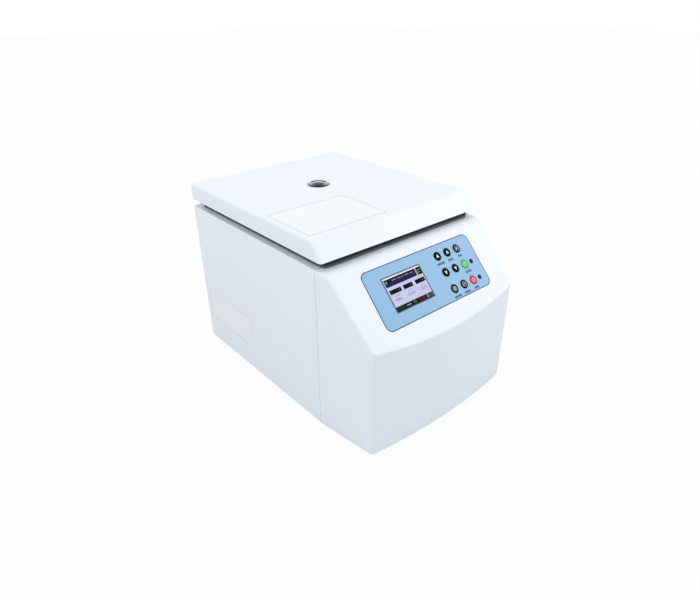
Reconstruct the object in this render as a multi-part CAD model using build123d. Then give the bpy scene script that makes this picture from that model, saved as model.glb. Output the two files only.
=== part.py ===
from build123d import *
import math
import os

# Bench-top microplate centrifuge: a sheet-steel cabinet with a moulded control front, a hinged
# lid with a sight glass, and a two-place swing-out rotor whose carriers each hold microplates.
# Frame: +X to the operator's right, +Y to the rear, +Z up, origin under the middle on the floor.
# Lengths are millimetres. "Depth" is measured rearwards from the line of the two front corners.

# ---- cabinet ------------------------------------------------------------------------------
BODY_WIDTH = 400.0
BODY_DEPTH = 558.0
DECK_Z = 334.0
BASE_SHEET = 2.0
BASE_EDGE = 18.0
BASE_VENTS = (-110.0, -96.0, 96.0, 110.0)
BASE_VENT_LENGTH = 120.0
FOOT_HEIGHT = 12.0
FOOT_RADIUS = 17.0
FOOT_INSET = 46.0
FOOT_TAPER = 2.5
FOOT_POCKET = 5.0
FOOT_SCREW_HEAD = 4.5
FOOT_SCREW_RISE = 2.5
FOOT_SCREW_RADIUS = 2.5
SHEET = 1.5
WRAP_CORNER = 10.0
WRAP_EDGE = 2.0
FLANGE_WIDTH = 22.0
REAR_FLANGE_WIDTH = 28.0
WINDOW_MARGIN = 2.0
CHASSIS_SHEET = 3.0
CHASSIS_GAP = 1.5
CHASSIS_SEAM_GAP = 2.0
POST_SETBACK = 4.0
POST_SIDE = 20.0
POST_WALL = 2.0
FIT_GAP = 0.3
RUNNING_GAP = 0.05
REAR_PROUD = 3.0

# How far a cutting block runs past a wall, and one longer than any piece.
CUT = 10.0
OVER = 1.0
NEAR = 0.01
FAR = 900.0

# ---- moulded front ------------------------------------------------------------------------
FRONT_INSET = 15.0
FRONT_BOW = 14.0
SEAM_DEPTH = 128.0
STRAIGHT_LENGTH = 10.0
SLOPE_RISE = 108.0
SLOPE_ANGLE = 46.4
MOULD_WALL = 3.5
MOULD_CORNER = 8.0
TAPER_BLEND = 60.0
SLOPE_TOP_BLEND = 30.0
SLOPE_SIDE_BLEND = 4.0
BOSS_RADIUS = 4.0
BOSS_INSET = 6.0
BOSS_LAP = 0.5
RIB_PITCH = 64.0
RIB_THICK = 2.4
RIB_DEPTH = 4.0
RIB_FROM_END = 24.0
TAB_THICK = 3.0
TAB_LAP = 20.0
TAB_REACH = 14.0
TAB_HALF = 9.0
TAB_FROM_END = 50.0

# ---- control panel, in the slope's own plane (u to the right, v up the slope) --------------
OVERLAY_SIZE = (276.0, 111.0)
OVERLAY_CENTRE = (0.0, 75.0)
OVERLAY_CORNER = 13.0
OVERLAY_THICK = 0.8
OVERLAY_RECESS = 0.5
DISPLAY_SIZE = (95.0, 65.0)
DISPLAY_CENTRE = (-54.6, 76.4)
DISPLAY_RIM = 5.0
DISPLAY_DEPTH = 7.0
DISPLAY_SUNK = 0.3
KEY_COLUMNS = (42.9, 69.8, 96.7)
KEY_ROWS = (108.2, 74.6, 40.7)
KEY_RADIUS = 8.4
KEY_FLANGE = 0.9
KEY_PROUD = 0.9
KEY_TRAVEL = 0.6
KEY_FOOT = 1.2
KEY_STEM = 3.0
KEY_BEVEL = 0.6
LED_COLUMN = 116.2
LED_RADIUS = 3.8
LED_PROUD = 0.3
BOARD_SIZE = (262.0, 98.0)
BOARD_THICK = 1.6
BOARD_DROP = 14.0
DRIVE_WIDTH = 240.0
DRIVE_FROM_FRONT = 40.0
DRIVE_PAST_SEAM = 36.0
DRIVE_SHEET = 2.0
DRIVE_LIP = 24.0
DRIVE_BOARD_INSET = (4.0, 6.0)
DRIVE_BOARD_THICK = 3.0
SINK_FROM_EDGE = (10.0, 8.0)
SINK_WIDTH = 80.0
SINK_BASE = 6.0
SINK_FINS = 7
FIN_PITCH = 12.4
FIN_THICK = 2.0
FIN_HEIGHT = 37.0
CAN_PLACES = (30.0, 70.0)
CAN_RADIUS = 16.0
CAN_HEIGHT = 47.0

# ---- lid and its hinges --------------------------------------------------------------------
LID_INSET = 1.8
LID_GAP = 15.0
LID_THICK = 33.0
LID_OVERHANG = 14.0
LID_SLANT = 27.6
LID_SHEET = 1.5
LID_EDGE = 5.0
LID_CORNER = 5.0
LINER_RISE = 3.0
LINER_SHEET = 1.5
LINER_RIM = 12.0
SIGHT_RADIUS = 22.5
SIGHT_BORE = 15.5
SIGHT_TUBE = 18.5
SIGHT_FLANGE = 3.0
LENS_SEAT = 4.5
LENS_EDGE = 1.2
LENS_CROWN = 3.6
SIGHT_LIP = 1.5
SIGHT_LIP_THICK = 2.0
SIGHT_NUT_FLANGE = 1.0
SIGHT_NUT_THICK = 3.0
BEZEL_EDGE = (0.8, 1.6)
BEZEL_CREST = 0.6
BEZEL_FALL = (1.2, 0.4)
BEZEL_MOUTH = 1.0
CROWN_EASE = 0.9
HINGE_X = 120.0
HINGE_LENGTH = 52.0
HINGE_BARREL = 5.0
HINGE_PIN = 2.5
HINGE_INSET = 4.0
KNUCKLE = 13.0
HINGE_LEAF = 2.0
LEAF_REACH = 13.0
LEAF_LAP = 2.0
ARM_PLATE = (12.0, 2.0)
ARM_SETBACK = 0.5
ARM_END_GAP = 0.4

# ---- chamber, motor and rotor --------------------------------------------------------------
BOWL_CLEARANCE = 4.2
SWING_CLEARANCE = 9.8
LID_CLEARANCE = 9.1
HUB_CLEARANCE = 3.1
BOWL_SHEET = 1.5
BOWL_BLEND = 16.0
BOWL_FLANGE = 10.0
BOWL_HOLE = 24.0
FRAME_SIDE_INSET = 14.5
FRAME_FRONT_LAP = 7.5
FRAME_REAR_INSET = 18.0
FRAME_TOP = 12.0
FRAME_LIP = 4.5
FRAME_WALL = 3.0
FRAME_CORNER = 12.0
FRAME_BORE_GAP = 0.5
SEAL_HEIGHT = 4.2
SEAL_BEVEL = 1.2
SEAL_INSET = 2.0
GUARD_GAP = 4.5
GUARD_WALL = 5.0
GUARD_BELOW = 8.0
RIM_CLEARANCE = 3.0
MOTOR_RADIUS = 55.0
MOTOR_LENGTH = 136.0
BOOT_LENGTH = 36.0
BOOT_FLANGE = 8.0
BOOT_WALL = 2.5
BOOT_WAIST = 19.0
CASE_BEVEL = 5.0
CASE_FLUTES = 16
FLUTE_SIZE = (4.0, 5.0)
FLUTE_FROM_END = 22.0
CASE_BORE_GAP = 1.5
MOTOR_PLATE = 6.0
MOTOR_PLATE_SIDE = 150.0
MOTOR_PLATE_CORNER = 12.0
MOTOR_PLATE_BORE_GAP = 4.0
DAMPER_RADIUS = 14.0
DAMPER_PITCH = 118.0
DAMPER_WAIST = (3.0, 6.0)
SHAFT_RADIUS = 7.5
SHAFT_STEP = 1.5
SHAFT_COLLAR = (3.5, 6.0)
SHAFT_END = 10.0
BEARING_RADIUS = 16.0
BEARING_WIDTH = 11.0
TRUNNION_RADIUS = 5.0
PLATE_LENGTH = 130.0
PLATE_WIDTH = 88.0
CARRIER_WALL = 2.5
CARRIER_FLOOR = 3.0
CARRIER_BELOW = 42.0
CARRIER_ABOVE = 6.0
CARRIER_CORNER = 5.0
CARRIER_FOOT_BLEND = 2.0
CARRIER_WINDOWS = (-36.0, 0.0, 36.0)
WINDOW_WIDTH = 26.0
WINDOW_FROM_FLOOR = 14.0
WINDOW_FROM_TOP = 10.0
LUG_RADIUS = 10.5
LUG_REACH = 7.0
LUG_DROP = 16.0
PIN_SLOT_DROP = 17.0
ARM_THICK = 8.0
ARM_HEIGHT = 24.0
ARM_GAP = 1.0
HUB_RADIUS = 20.0
HUB_WEB = 22.0
HUB_DROP = 18.0
WEB_DROP = 9.0
WEB_BELOW_HUB = 2.0
GUSSET_SIZE = (12.0, 10.0)
ARM_HOLE_X = 36.0
ARM_HOLE_RADIUS = 6.0
PIN_LAP = 1.5
NUT_RADIUS = 17.0
NUT_HEIGHT = 16.0
NUT_BEVEL = 2.0
NUT_GROOVES = 12
GROOVE_RADIUS = 2.2
PAD_THICK = 2.0
PAD_MARGIN = 1.0
PAD_CORNER = 3.0

# ---- lid lock ------------------------------------------------------------------------------
STRIKER_BEHIND_SEAM = 32.0
STRIKER_WIDTH = 20.0
STRIKER_THICK = 5.0
STRIKER_TIP = 10.0
STRIKER_HOLE = 6.5
STRIKER_FOOT = (24.0, 2.0)
STRIKER_BLEND = 4.0
STRIKER_SLOT = (7.0, 13.0)
LOCK_HALF = 17.0
LOCK_WALL = 5.0
LOCK_SLOT_GAP = (2.0, 2.5)
LOCK_SLOT_DROP = 13.0
BOLT_RADIUS = 4.0
BOLT_DROP = 12.0
BOLT_BACK = 3.0
BOLT_END_GAP = 6.0
SOLENOID = (52.0, 24.0, 20.0)
SOLENOID_BLEND = 2.0
SOLENOID_END_WALL = 4.0

# ---- rear panel ----------------------------------------------------------------------------
FAN_SIDE = 80.0
FAN_DEPTH = 25.0
FAN_CENTRE = (110.0, 92.0)
FAN_DUCT = 37.5
FAN_HUB = 16.0
FAN_BLADES = 7
FAN_CORNER = 4.0
FAN_SPOKE = (30.0, 3.0, 4.0)
FAN_SPOKE_MIDDLE = 28.0
FAN_PIN = (2.0, 15.0)
FAN_PIN_GAP = 0.5
HUB_INSET = (4.5, 3.5)
HUB_BEVEL = 1.5
BLADE_SIZE = (25.5, 1.6, 20.0)
BLADE_MIDDLE = 25.75
BLADE_ANGLE = 38.0
BLADE_TIP_GAP = 1.5
INLET_CENTRE = (-128.0, 66.0)
INLET_FLANGE = (48.0, 28.0)
INLET_SOCKET = (24.0, 17.0)
INLET_DEPTH = 17.0
INLET_CORNER = 5.0
INLET_WALL = 1.8
INLET_FLOOR = 3.0
SOCKET_BEVEL = 4.0
BLADE_PLACES = ((-7.0, -1.5), (0.0, 2.5), (7.0, -1.5))
BLADE_HALF = (1.0, 2.0)
BLADE_LENGTH = 11.0
SWITCH_CENTRE = (-70.0, 66.0)
SWITCH_FLANGE = (24.0, 34.0)
ROCKER_SIZE = (17.0, 25.0)
SWITCH_WALL = 1.8
SWITCH_RIM = 2.0
SWITCH_CORNER = 2.0
SWITCH_DEPTH = (20.0, 18.0)
ROCKER_GAP = 0.4
ROCKER_HEEL = (6.0, 4.0)
ROCKER_REACH = 10.8
ROCKER_TILT = 8.0
ROCKER_AXLE = 7.0
AXLE_RADIUS = 1.5
VENT_SLOT = (46.0, 3.6)
VENT_PITCH = 9.0
VENT_ROWS = 8
VENT_FOOT_Z = 190.0
VENT_COLUMN = 120.0
GRILLE_PITCH = 8.0
GRILLE_RIB = 3.0
GRILLE_HALF_ROWS = 4
GRILLE_MARGIN = 2.0
FAN_SCREW_INSET = 4.3
EDGE_SCREW_INSET = 14.0
SCREW_HEAD = 3.4
SCREW_RISE = 1.6
SCREW_SHANK = 1.7
SCREW_LENGTH = 8.0
PLUG_HEAD = 7.0
PLUG_STEM = 4.0
PLUG_LENGTH = 12.0
PLUG_BEHIND_SEAM = 40.0
PLUG_Z = 262.0

# ---- places worked out from the sizes above --------------------------------------------------
FRONT_LINE_Y = -(BODY_DEPTH + REAR_PROUD - FRONT_BOW) / 2
SEAM_Y = FRONT_LINE_Y + SEAM_DEPTH
REAR_Y = FRONT_LINE_Y + BODY_DEPTH
BASE_Z = FOOT_HEIGHT
TRAY_Z = BASE_Z + BASE_SHEET
FRONT_WIDTH = BODY_WIDTH - 2 * FRONT_INSET
LID_WIDTH = BODY_WIDTH - 2 * LID_INSET
FRAME_WIDTH = BODY_WIDTH - 2 * FRAME_SIDE_INSET
SLOPE_FOOT_Z = DECK_Z - SLOPE_RISE
FRAME_TOP_Z = DECK_Z + FRAME_TOP
LID_RIM_Z = DECK_Z + LID_GAP
LID_TOP_Z = LID_RIM_Z + LID_THICK
LINER_Z = LID_RIM_Z + LINER_RISE
CHASSIS_TOP_Z = DECK_Z - SHEET
CHASSIS_LOW_Z = CHASSIS_TOP_Z - CHASSIS_SHEET
LID_FRONT_Y = SEAM_Y - LID_OVERHANG
FRAME_FRONT_Y = SEAM_Y - FRAME_FRONT_LAP
FRAME_REAR_Y = REAR_Y - FRAME_REAR_INSET
HINGE_Y = REAR_Y - HINGE_INSET
HINGE_Z = DECK_Z + LID_GAP / 2
STRIKER_Y = SEAM_Y + STRIKER_BEHIND_SEAM
BOLT_Z = CHASSIS_TOP_Z - BOLT_DROP
PLUG_Y = SEAM_Y + PLUG_BEHIND_SEAM

# A carrier swings about its trunnions, so its far corners set the bowl, the hub and the heights.
CARRIER_HALF_X = PLATE_WIDTH / 2 + CARRIER_WALL
CARRIER_HALF_Y = PLATE_LENGTH / 2 + CARRIER_WALL
TOP_CORNER = math.hypot(CARRIER_HALF_X, CARRIER_ABOVE)
LOW_CORNER = math.hypot(CARRIER_HALF_X, CARRIER_BELOW)
TRUNNION_X = HUB_RADIUS + TOP_CORNER + HUB_CLEARANCE
TRUNNION_Z = LINER_Z - TOP_CORNER - LID_CLEARANCE
LUG_FACE_Y = PLATE_LENGTH / 2 + LUG_REACH
ARM_FACE_Y = LUG_FACE_Y + ARM_GAP
ARM_END_Y = ARM_FACE_Y + ARM_THICK
CHAMBER_RADIUS = math.hypot(TRUNNION_X + LOW_CORNER, CARRIER_HALF_Y) + BOWL_CLEARANCE
BOWL_FLOOR_Z = TRUNNION_Z - LOW_CORNER - SWING_CLEARANCE - BOWL_SHEET
BOWL_RIM_RADIUS = CHAMBER_RADIUS + BOWL_FLANGE
MOTOR_TOP_Z = BOWL_FLOOR_Z - BOOT_LENGTH
MOTOR_FOOT_Z = MOTOR_TOP_Z - MOTOR_LENGTH
ROTOR_Y = FRAME_REAR_Y - FRAME_WALL - RIM_CLEARANCE - BOWL_RIM_RADIUS
DISPLAY_WINDOW = tuple(size + 2 * FIT_GAP for size in DISPLAY_SIZE)
SLOPE = Plane(
    origin=(0, FRONT_LINE_Y, SLOPE_FOOT_Z),
    x_dir=(1, 0, 0),
    z_dir=(0, -math.sin(math.radians(SLOPE_ANGLE)), math.cos(math.radians(SLOPE_ANGLE))),
)
PARTS = {}


def keep(name, shape):
    """Registers a finished piece under its node name."""
    PARTS[name] = shape
    return shape


def block(x0, x1, y0, y1, z0, z1):
    """A box between two corners."""
    return Pos((x0 + x1) / 2, (y0 + y1) / 2, (z0 + z1) / 2) * Box(x1 - x0, y1 - y0, z1 - z0)


def upright(radius, z0, z1, x=0.0, y=0.0):
    """A round bar standing along Z."""
    return Pos(x, y, (z0 + z1) / 2) * Cylinder(radius, z1 - z0)


def ring(outer, inner, z0, z1, x=0.0, y=0.0):
    """A round ring standing along Z."""
    return upright(outer, z0, z1, x, y) - upright(inner, z0 - 1, z1 + 1, x, y)


def bar_x(radius, x0, x1, y, z):
    """A round bar lying along X."""
    return Pos((x0 + x1) / 2, y, z) * Rot(0, 90, 0) * Cylinder(radius, x1 - x0)


def bar_y(radius, x, y0, y1, z):
    """A round bar lying along Y."""
    return Pos(x, (y0 + y1) / 2, z) * Rot(90, 0, 0) * Cylinder(radius, y1 - y0)


def on_slope(u, v, w=0.0):
    """A location on the control slope, w proud of its face."""
    return SLOPE.location * Pos(u, v, w)


def slope_bar(u, v, w0, w1, radius):
    """A round bar square to the control slope."""
    return on_slope(u, v, (w0 + w1) / 2) * Cylinder(radius, w1 - w0)


def slope_block(u, v, w0, w1, size):
    """A box square to the control slope."""
    return on_slope(u, v, (w0 + w1) / 2) * Box(size[0], size[1], w1 - w0)


def about_x(edge):
    """True for an edge that runs along X."""
    return abs(edge.tangent_at(0.5).X) > 0.999


# ---- moulded front ---------------------------------------------------------------------------
def front_outline(wall, back_depth):
    """Plan face of the front moulding, drawn wall inside its outer skin."""
    front, half, side = FRONT_LINE_Y, FRONT_WIDTH / 2, BODY_WIDTH / 2
    back = front + back_depth
    taper = front + SEAM_DEPTH - STRAIGHT_LENGTH
    edge = (
        Polyline((-half, front), (-side, taper), (-side, back), (side, back), (side, taper), (half, front))
        + ThreePointArc((half, front), (0, front - FRONT_BOW), (-half, front))
    )
    face = make_face(edge)
    waist = face.vertices().filter_by(lambda v: abs(v.Y - taper) < NEAR)
    face = fillet(waist, TAPER_BLEND)
    corners = face.vertices().filter_by(lambda v: abs(v.Y - front) < NEAR)
    face = fillet(corners, MOULD_CORNER)
    return offset(face, -wall) if wall else face


def front_form(wall, back_depth, top_z, low_z):
    """Closed form of the front moulding, wall inside its outer skin, with the slope cut off it."""
    blank = extrude(Pos(0, 0, low_z) * front_outline(wall, back_depth), amount=top_z - low_z)
    cutter = slope_block(0, 0, -wall, FAR, (FAR, FAR))
    form = blank - cutter
    crest = form.edges().filter_by(about_x).filter_by(
        lambda e: e.center().Z > top_z - OVER and e.center().Y < SEAM_Y - CUT
    )
    return fillet(crest, SLOPE_TOP_BLEND - wall)


def slope_rim(form):
    """The edges round the slope's face, from one crest to the other."""
    face = form.faces().sort_by(lambda f: -abs(f.normal_at().dot(SLOPE.z_dir)))[0]
    return face.edges().filter_by(lambda e: not (about_x(e) and e.center().Z > DECK_Z - SLOPE_TOP_BLEND))


def key_grid():
    """Centre of each key on the slope, row by row from the top left."""
    return [(u, v) for v in KEY_ROWS for u in KEY_COLUMNS]


def board_posts():
    """Centres of the bosses that carry the control board."""
    du, dv = BOARD_SIZE[0] / 2 - BOSS_INSET, BOARD_SIZE[1] / 2 - BOSS_INSET
    return [(OVERLAY_CENTRE[0] + a * du, OVERLAY_CENTRE[1] + b * dv) for a in (-1, 1) for b in (-1, 1)]


def front_ribs(outer):
    """Upright stiffening ribs inside the bowed lower front, trimmed to the moulding's form."""
    low, high = BASE_Z + RIB_FROM_END, SLOPE_FOOT_Z - RIB_FROM_END
    back = FRONT_LINE_Y + RIB_DEPTH
    ribs = [block(x - RIB_THICK / 2, x + RIB_THICK / 2, FRONT_LINE_Y - FRONT_BOW, back, low, high)
            for x in (-2 * RIB_PITCH, -RIB_PITCH, 0, RIB_PITCH, 2 * RIB_PITCH)]
    return [rib & outer for rib in ribs]


def make_front_housing():
    """Hollow moulding with the control slope, its windows and the bosses for the board."""
    outer = front_form(0, SEAM_DEPTH, DECK_Z, BASE_Z)
    outer = fillet(slope_rim(outer), SLOPE_SIDE_BLEND)
    inner = front_form(MOULD_WALL, SEAM_DEPTH + CUT, DECK_Z - MOULD_WALL, BASE_Z - CUT)
    shell = outer - inner + front_ribs(outer)
    overlay = Rectangle(OVERLAY_SIZE[0] + FIT_GAP, OVERLAY_SIZE[1] + FIT_GAP)
    overlay = fillet(overlay.vertices(), OVERLAY_CORNER)
    shell -= on_slope(*OVERLAY_CENTRE, -OVERLAY_RECESS) * extrude(overlay, amount=CUT)
    shell -= slope_block(*DISPLAY_CENTRE, -CUT, CUT, DISPLAY_WINDOW)
    for u, v in key_grid():
        shell -= slope_bar(u, v, -CUT, CUT, KEY_RADIUS + KEY_FLANGE + 2 * FIT_GAP)
    for v in KEY_ROWS[1:]:
        shell -= slope_bar(LED_COLUMN, v, -CUT, CUT, LED_RADIUS + FIT_GAP)
    for u, v in board_posts():
        shell += slope_bar(u, v, -BOARD_DROP, -MOULD_WALL + BOSS_LAP, BOSS_RADIUS)
    face = BODY_WIDTH / 2 - SHEET - FIT_GAP
    for z in (BASE_Z + TAB_FROM_END, DECK_Z - TAB_FROM_END):
        tab = block(face - TAB_THICK, face, SEAM_Y - TAB_LAP, SEAM_Y + TAB_REACH, z - TAB_HALF, z + TAB_HALF)
        shell += tab + mirror(tab, Plane.YZ)
    return keep("front_housing", shell)


def make_control_panel():
    """Overlay, keys, lamps, display and the board behind them."""
    low = -OVERLAY_RECESS
    top = low + OVERLAY_THICK
    sheet = fillet(Rectangle(*OVERLAY_SIZE).vertices(), OVERLAY_CORNER)
    overlay = on_slope(*OVERLAY_CENTRE, low) * extrude(sheet, amount=OVERLAY_THICK)
    overlay -= slope_block(*DISPLAY_CENTRE, -CUT, CUT, DISPLAY_WINDOW)
    for u, v in key_grid():
        overlay -= slope_bar(u, v, -CUT, CUT, KEY_RADIUS + FIT_GAP)
    for v in KEY_ROWS[1:]:
        overlay -= slope_bar(LED_COLUMN, v, -CUT, CUT, LED_RADIUS + RUNNING_GAP)
    keep("keypad_overlay", overlay)

    names = ("speed_up", "time_up", "menu", "speed_down", "time_down", "start", "program", "mode", "stop")
    board_face, foot = -BOARD_DROP, low - KEY_FOOT
    for name, (u, v) in zip(names, key_grid()):
        cap = slope_bar(u, v, foot, top + KEY_PROUD, KEY_RADIUS)
        crown = cap.faces().sort_by(lambda f: f.center().dot(SLOPE.z_dir))[-1]
        cap = chamfer(crown.edges(), KEY_BEVEL)
        cap += slope_bar(u, v, foot, low - RUNNING_GAP, KEY_RADIUS + KEY_FLANGE)
        cap += slope_bar(u, v, board_face + KEY_TRAVEL + FIT_GAP, foot, KEY_STEM)
        keep("key_" + name, cap)

    lamps = [slope_bar(LED_COLUMN, v, board_face, top + LED_PROUD, LED_RADIUS) for v in KEY_ROWS[1:]]
    keep("status_lamps", Compound(children=lamps))

    glass = slope_block(*DISPLAY_CENTRE, -MOULD_WALL, top - DISPLAY_SUNK, DISPLAY_SIZE)
    back = (DISPLAY_SIZE[0] + 2 * DISPLAY_RIM, DISPLAY_SIZE[1] + 2 * DISPLAY_RIM)
    module = glass + slope_block(*DISPLAY_CENTRE, -MOULD_WALL - DISPLAY_DEPTH, -MOULD_WALL, back)
    keep("display_module", module)

    board = slope_block(*OVERLAY_CENTRE, board_face - BOARD_THICK, board_face, BOARD_SIZE)
    keep("control_board", board)


# ---- cabinet ---------------------------------------------------------------------------------
def make_wrap():
    """Folded steel wrapper: both sides, the back with its cut-outs, and the flange round the top."""
    side, seam = BODY_WIDTH / 2, SEAM_Y
    outer = block(-side, side, seam, REAR_Y, BASE_Z, DECK_Z)
    outer = fillet(outer.edges().filter_by(Axis.Z).sort_by(Axis.Y)[-2:], WRAP_CORNER)
    rim = outer.faces().sort_by(Axis.Z)[-1].edges().filter_by(lambda e: e.center().Y > seam + 1)
    outer = fillet(rim, WRAP_EDGE)
    inner = block(-side + SHEET, side - SHEET, seam - CUT, REAR_Y - SHEET, BASE_Z - CUT, DECK_Z - SHEET)
    inner = fillet(inner.edges().filter_by(Axis.Z).sort_by(Axis.Y)[-2:], WRAP_CORNER - SHEET)
    wrap = outer - inner
    lip = side - FLANGE_WIDTH
    wrap -= block(-lip, lip, seam - CUT, REAR_Y - REAR_FLANGE_WIDTH, DECK_Z - CUT, DECK_Z + CUT)
    back0, back1 = REAR_Y - SHEET - OVER, REAR_Y + OVER
    fan_x, fan_z = FAN_CENTRE
    for k in range(-GRILLE_HALF_ROWS, GRILLE_HALF_ROWS + 1):
        rise = k * GRILLE_PITCH
        half = math.sqrt(FAN_DUCT**2 - rise**2) - GRILLE_MARGIN
        z0, z1 = fan_z + rise - VENT_SLOT[1] / 2, fan_z + rise + VENT_SLOT[1] / 2
        wrap -= block(fan_x - half, fan_x - GRILLE_RIB / 2, back0, back1, z0, z1)
        wrap -= block(fan_x + GRILLE_RIB / 2, fan_x + half, back0, back1, z0, z1)
    for k in range(VENT_ROWS):
        z = VENT_FOOT_Z + k * VENT_PITCH
        for x in (-VENT_COLUMN, 0, VENT_COLUMN):
            wrap -= block(x - VENT_SLOT[0] / 2, x + VENT_SLOT[0] / 2, back0, back1, z, z + VENT_SLOT[1])
    for x, z in rear_screw_places():
        wrap -= bar_y(SCREW_SHANK, x, back0, back1, z)
    for (x, z), (width, height) in ((INLET_CENTRE, INLET_SOCKET), (SWITCH_CENTRE, ROCKER_SIZE)):
        half_x, half_z = width / 2 + WINDOW_MARGIN, height / 2 + WINDOW_MARGIN
        wrap -= block(x - half_x, x + half_x, back0, back1, z - half_z, z + half_z)
    wrap -= bar_x(PLUG_HEAD + FIT_GAP, side - CUT, side + CUT, PLUG_Y, PLUG_Z)
    return keep("cabinet_wrap", wrap)


def make_base():
    """Base plate with its upturned edges, the feet under it and their screws."""
    side, clear = BODY_WIDTH / 2 - SHEET - FIT_GAP, BASE_VENT_LENGTH / 2
    front, back = SEAM_Y + 1, REAR_Y - SHEET - FIT_GAP
    nose = FRONT_WIDTH / 2 - MOULD_WALL - MOULD_CORNER
    tray = block(-side, side, front, back, BASE_Z, BASE_Z + BASE_EDGE)
    tray = fillet(tray.edges().filter_by(Axis.Z).sort_by(Axis.Y)[-2:], WRAP_CORNER - SHEET)
    well = side - BASE_SHEET
    tray -= block(-well, well, front - OVER, back - BASE_SHEET, TRAY_Z, TRAY_Z + BASE_EDGE)
    tray += block(-nose, nose, FRONT_LINE_Y + MOULD_CORNER, front, BASE_Z, TRAY_Z)
    for offset in BASE_VENTS:
        y = ROTOR_Y + offset
        tray -= block(-clear, clear, y - VENT_SLOT[1] / 2, y + VENT_SLOT[1] / 2, BASE_Z - CUT, TRAY_Z + CUT)
    for x, z in rear_screw_places():
        tray -= bar_y(SCREW_SHANK, x, back - BASE_SHEET - OVER, back + OVER, z)
    keep("base_plate", tray)

    x, y0, y1 = BODY_WIDTH / 2 - FOOT_INSET, FRONT_LINE_Y + FOOT_INSET, REAR_Y - FOOT_INSET
    feet, screws = [], []
    for fx in (-x, x):
        for fy in (y0, y1):
            foot = Pos(fx, fy, FOOT_HEIGHT / 2) * Cone(FOOT_RADIUS - FOOT_TAPER, FOOT_RADIUS, FOOT_HEIGHT)
            foot -= upright(FOOT_POCKET, -OVER, FOOT_POCKET, fx, fy)
            foot -= upright(FOOT_SCREW_RADIUS, FOOT_POCKET - OVER, FOOT_HEIGHT + OVER, fx, fy)
            feet.append(foot)
            head = upright(FOOT_SCREW_HEAD, FOOT_POCKET - FOOT_SCREW_RISE, FOOT_POCKET, fx, fy)
            screws.append(head + upright(FOOT_SCREW_RADIUS, FOOT_POCKET, FOOT_HEIGHT, fx, fy))
    keep("rubber_feet", Compound(children=feet))
    keep("foot_screws", Compound(children=screws))


def make_chassis():
    """Top plate that carries the chamber, the posts under it and the guard ring round the bowl."""
    side = BODY_WIDTH / 2 - SHEET - CHASSIS_GAP
    front, back = SEAM_Y + CHASSIS_SEAM_GAP, REAR_Y - SHEET - CHASSIS_GAP
    low = CHASSIS_LOW_Z
    plate = block(-side, side, front, back, low, CHASSIS_TOP_Z)
    plate = fillet(plate.edges().filter_by(Axis.Z), WRAP_CORNER - SHEET)
    plate -= upright(CHAMBER_RADIUS + BOWL_SHEET + CHASSIS_GAP, low - OVER, CHASSIS_TOP_Z + OVER, 0, ROTOR_Y)
    slot_x, slot_y = STRIKER_SLOT
    plate -= block(-slot_x, slot_x, STRIKER_Y - slot_y, STRIKER_Y + slot_y, low - OVER, CHASSIS_TOP_Z + OVER)
    keep("chassis_top", plate)

    half, bore = POST_SIDE / 2, POST_SIDE / 2 - POST_WALL
    posts = []
    for x in (-side + POST_SIDE, side - POST_SIDE):
        for y in (front + POST_SIDE + POST_SETBACK, back - POST_SIDE):
            post = block(x - half, x + half, y - half, y + half, TRAY_Z, low)
            post -= block(x - bore, x + bore, y - bore, y + bore, BASE_Z, low + OVER)
            posts.append(post)
    keep("chassis_posts", Compound(children=posts))

    inner = CHAMBER_RADIUS + BOWL_SHEET + GUARD_GAP
    keep("guard_ring", ring(inner + GUARD_WALL, inner, BOWL_FLOOR_Z - GUARD_BELOW, low, 0, ROTOR_Y))


def make_deck_frame():
    """Dark surround that raises the chamber mouth to the lid, with a lip round its edge."""
    half = FRAME_WIDTH / 2
    y0, y1 = FRAME_FRONT_Y, FRAME_REAR_Y
    frame = block(-half, half, y0, y1, DECK_Z, FRAME_TOP_Z + FRAME_LIP)
    frame = fillet(frame.edges().filter_by(Axis.Z), FRAME_CORNER)
    wall = FRAME_WALL
    tray = block(-half + wall, half - wall, y0 + wall, y1 - wall, FRAME_TOP_Z, FRAME_TOP_Z + CUT)
    tray = fillet(tray.edges().filter_by(Axis.Z), FRAME_CORNER - wall)
    below = Pos(0, 0, -CUT - FRAME_WALL) * tray
    frame -= tray
    frame -= below
    low, top = DECK_Z - CUT, FRAME_TOP_Z + CUT
    frame -= upright(CHAMBER_RADIUS + BOWL_SHEET + FRAME_BORE_GAP, low, top, 0, ROTOR_Y)
    slot_x, slot_y = STRIKER_SLOT[0] + OVER, STRIKER_SLOT[1] + OVER
    frame -= block(-slot_x, slot_x, STRIKER_Y - slot_y, STRIKER_Y + slot_y, low, top)
    return keep("deck_frame", frame)


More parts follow.
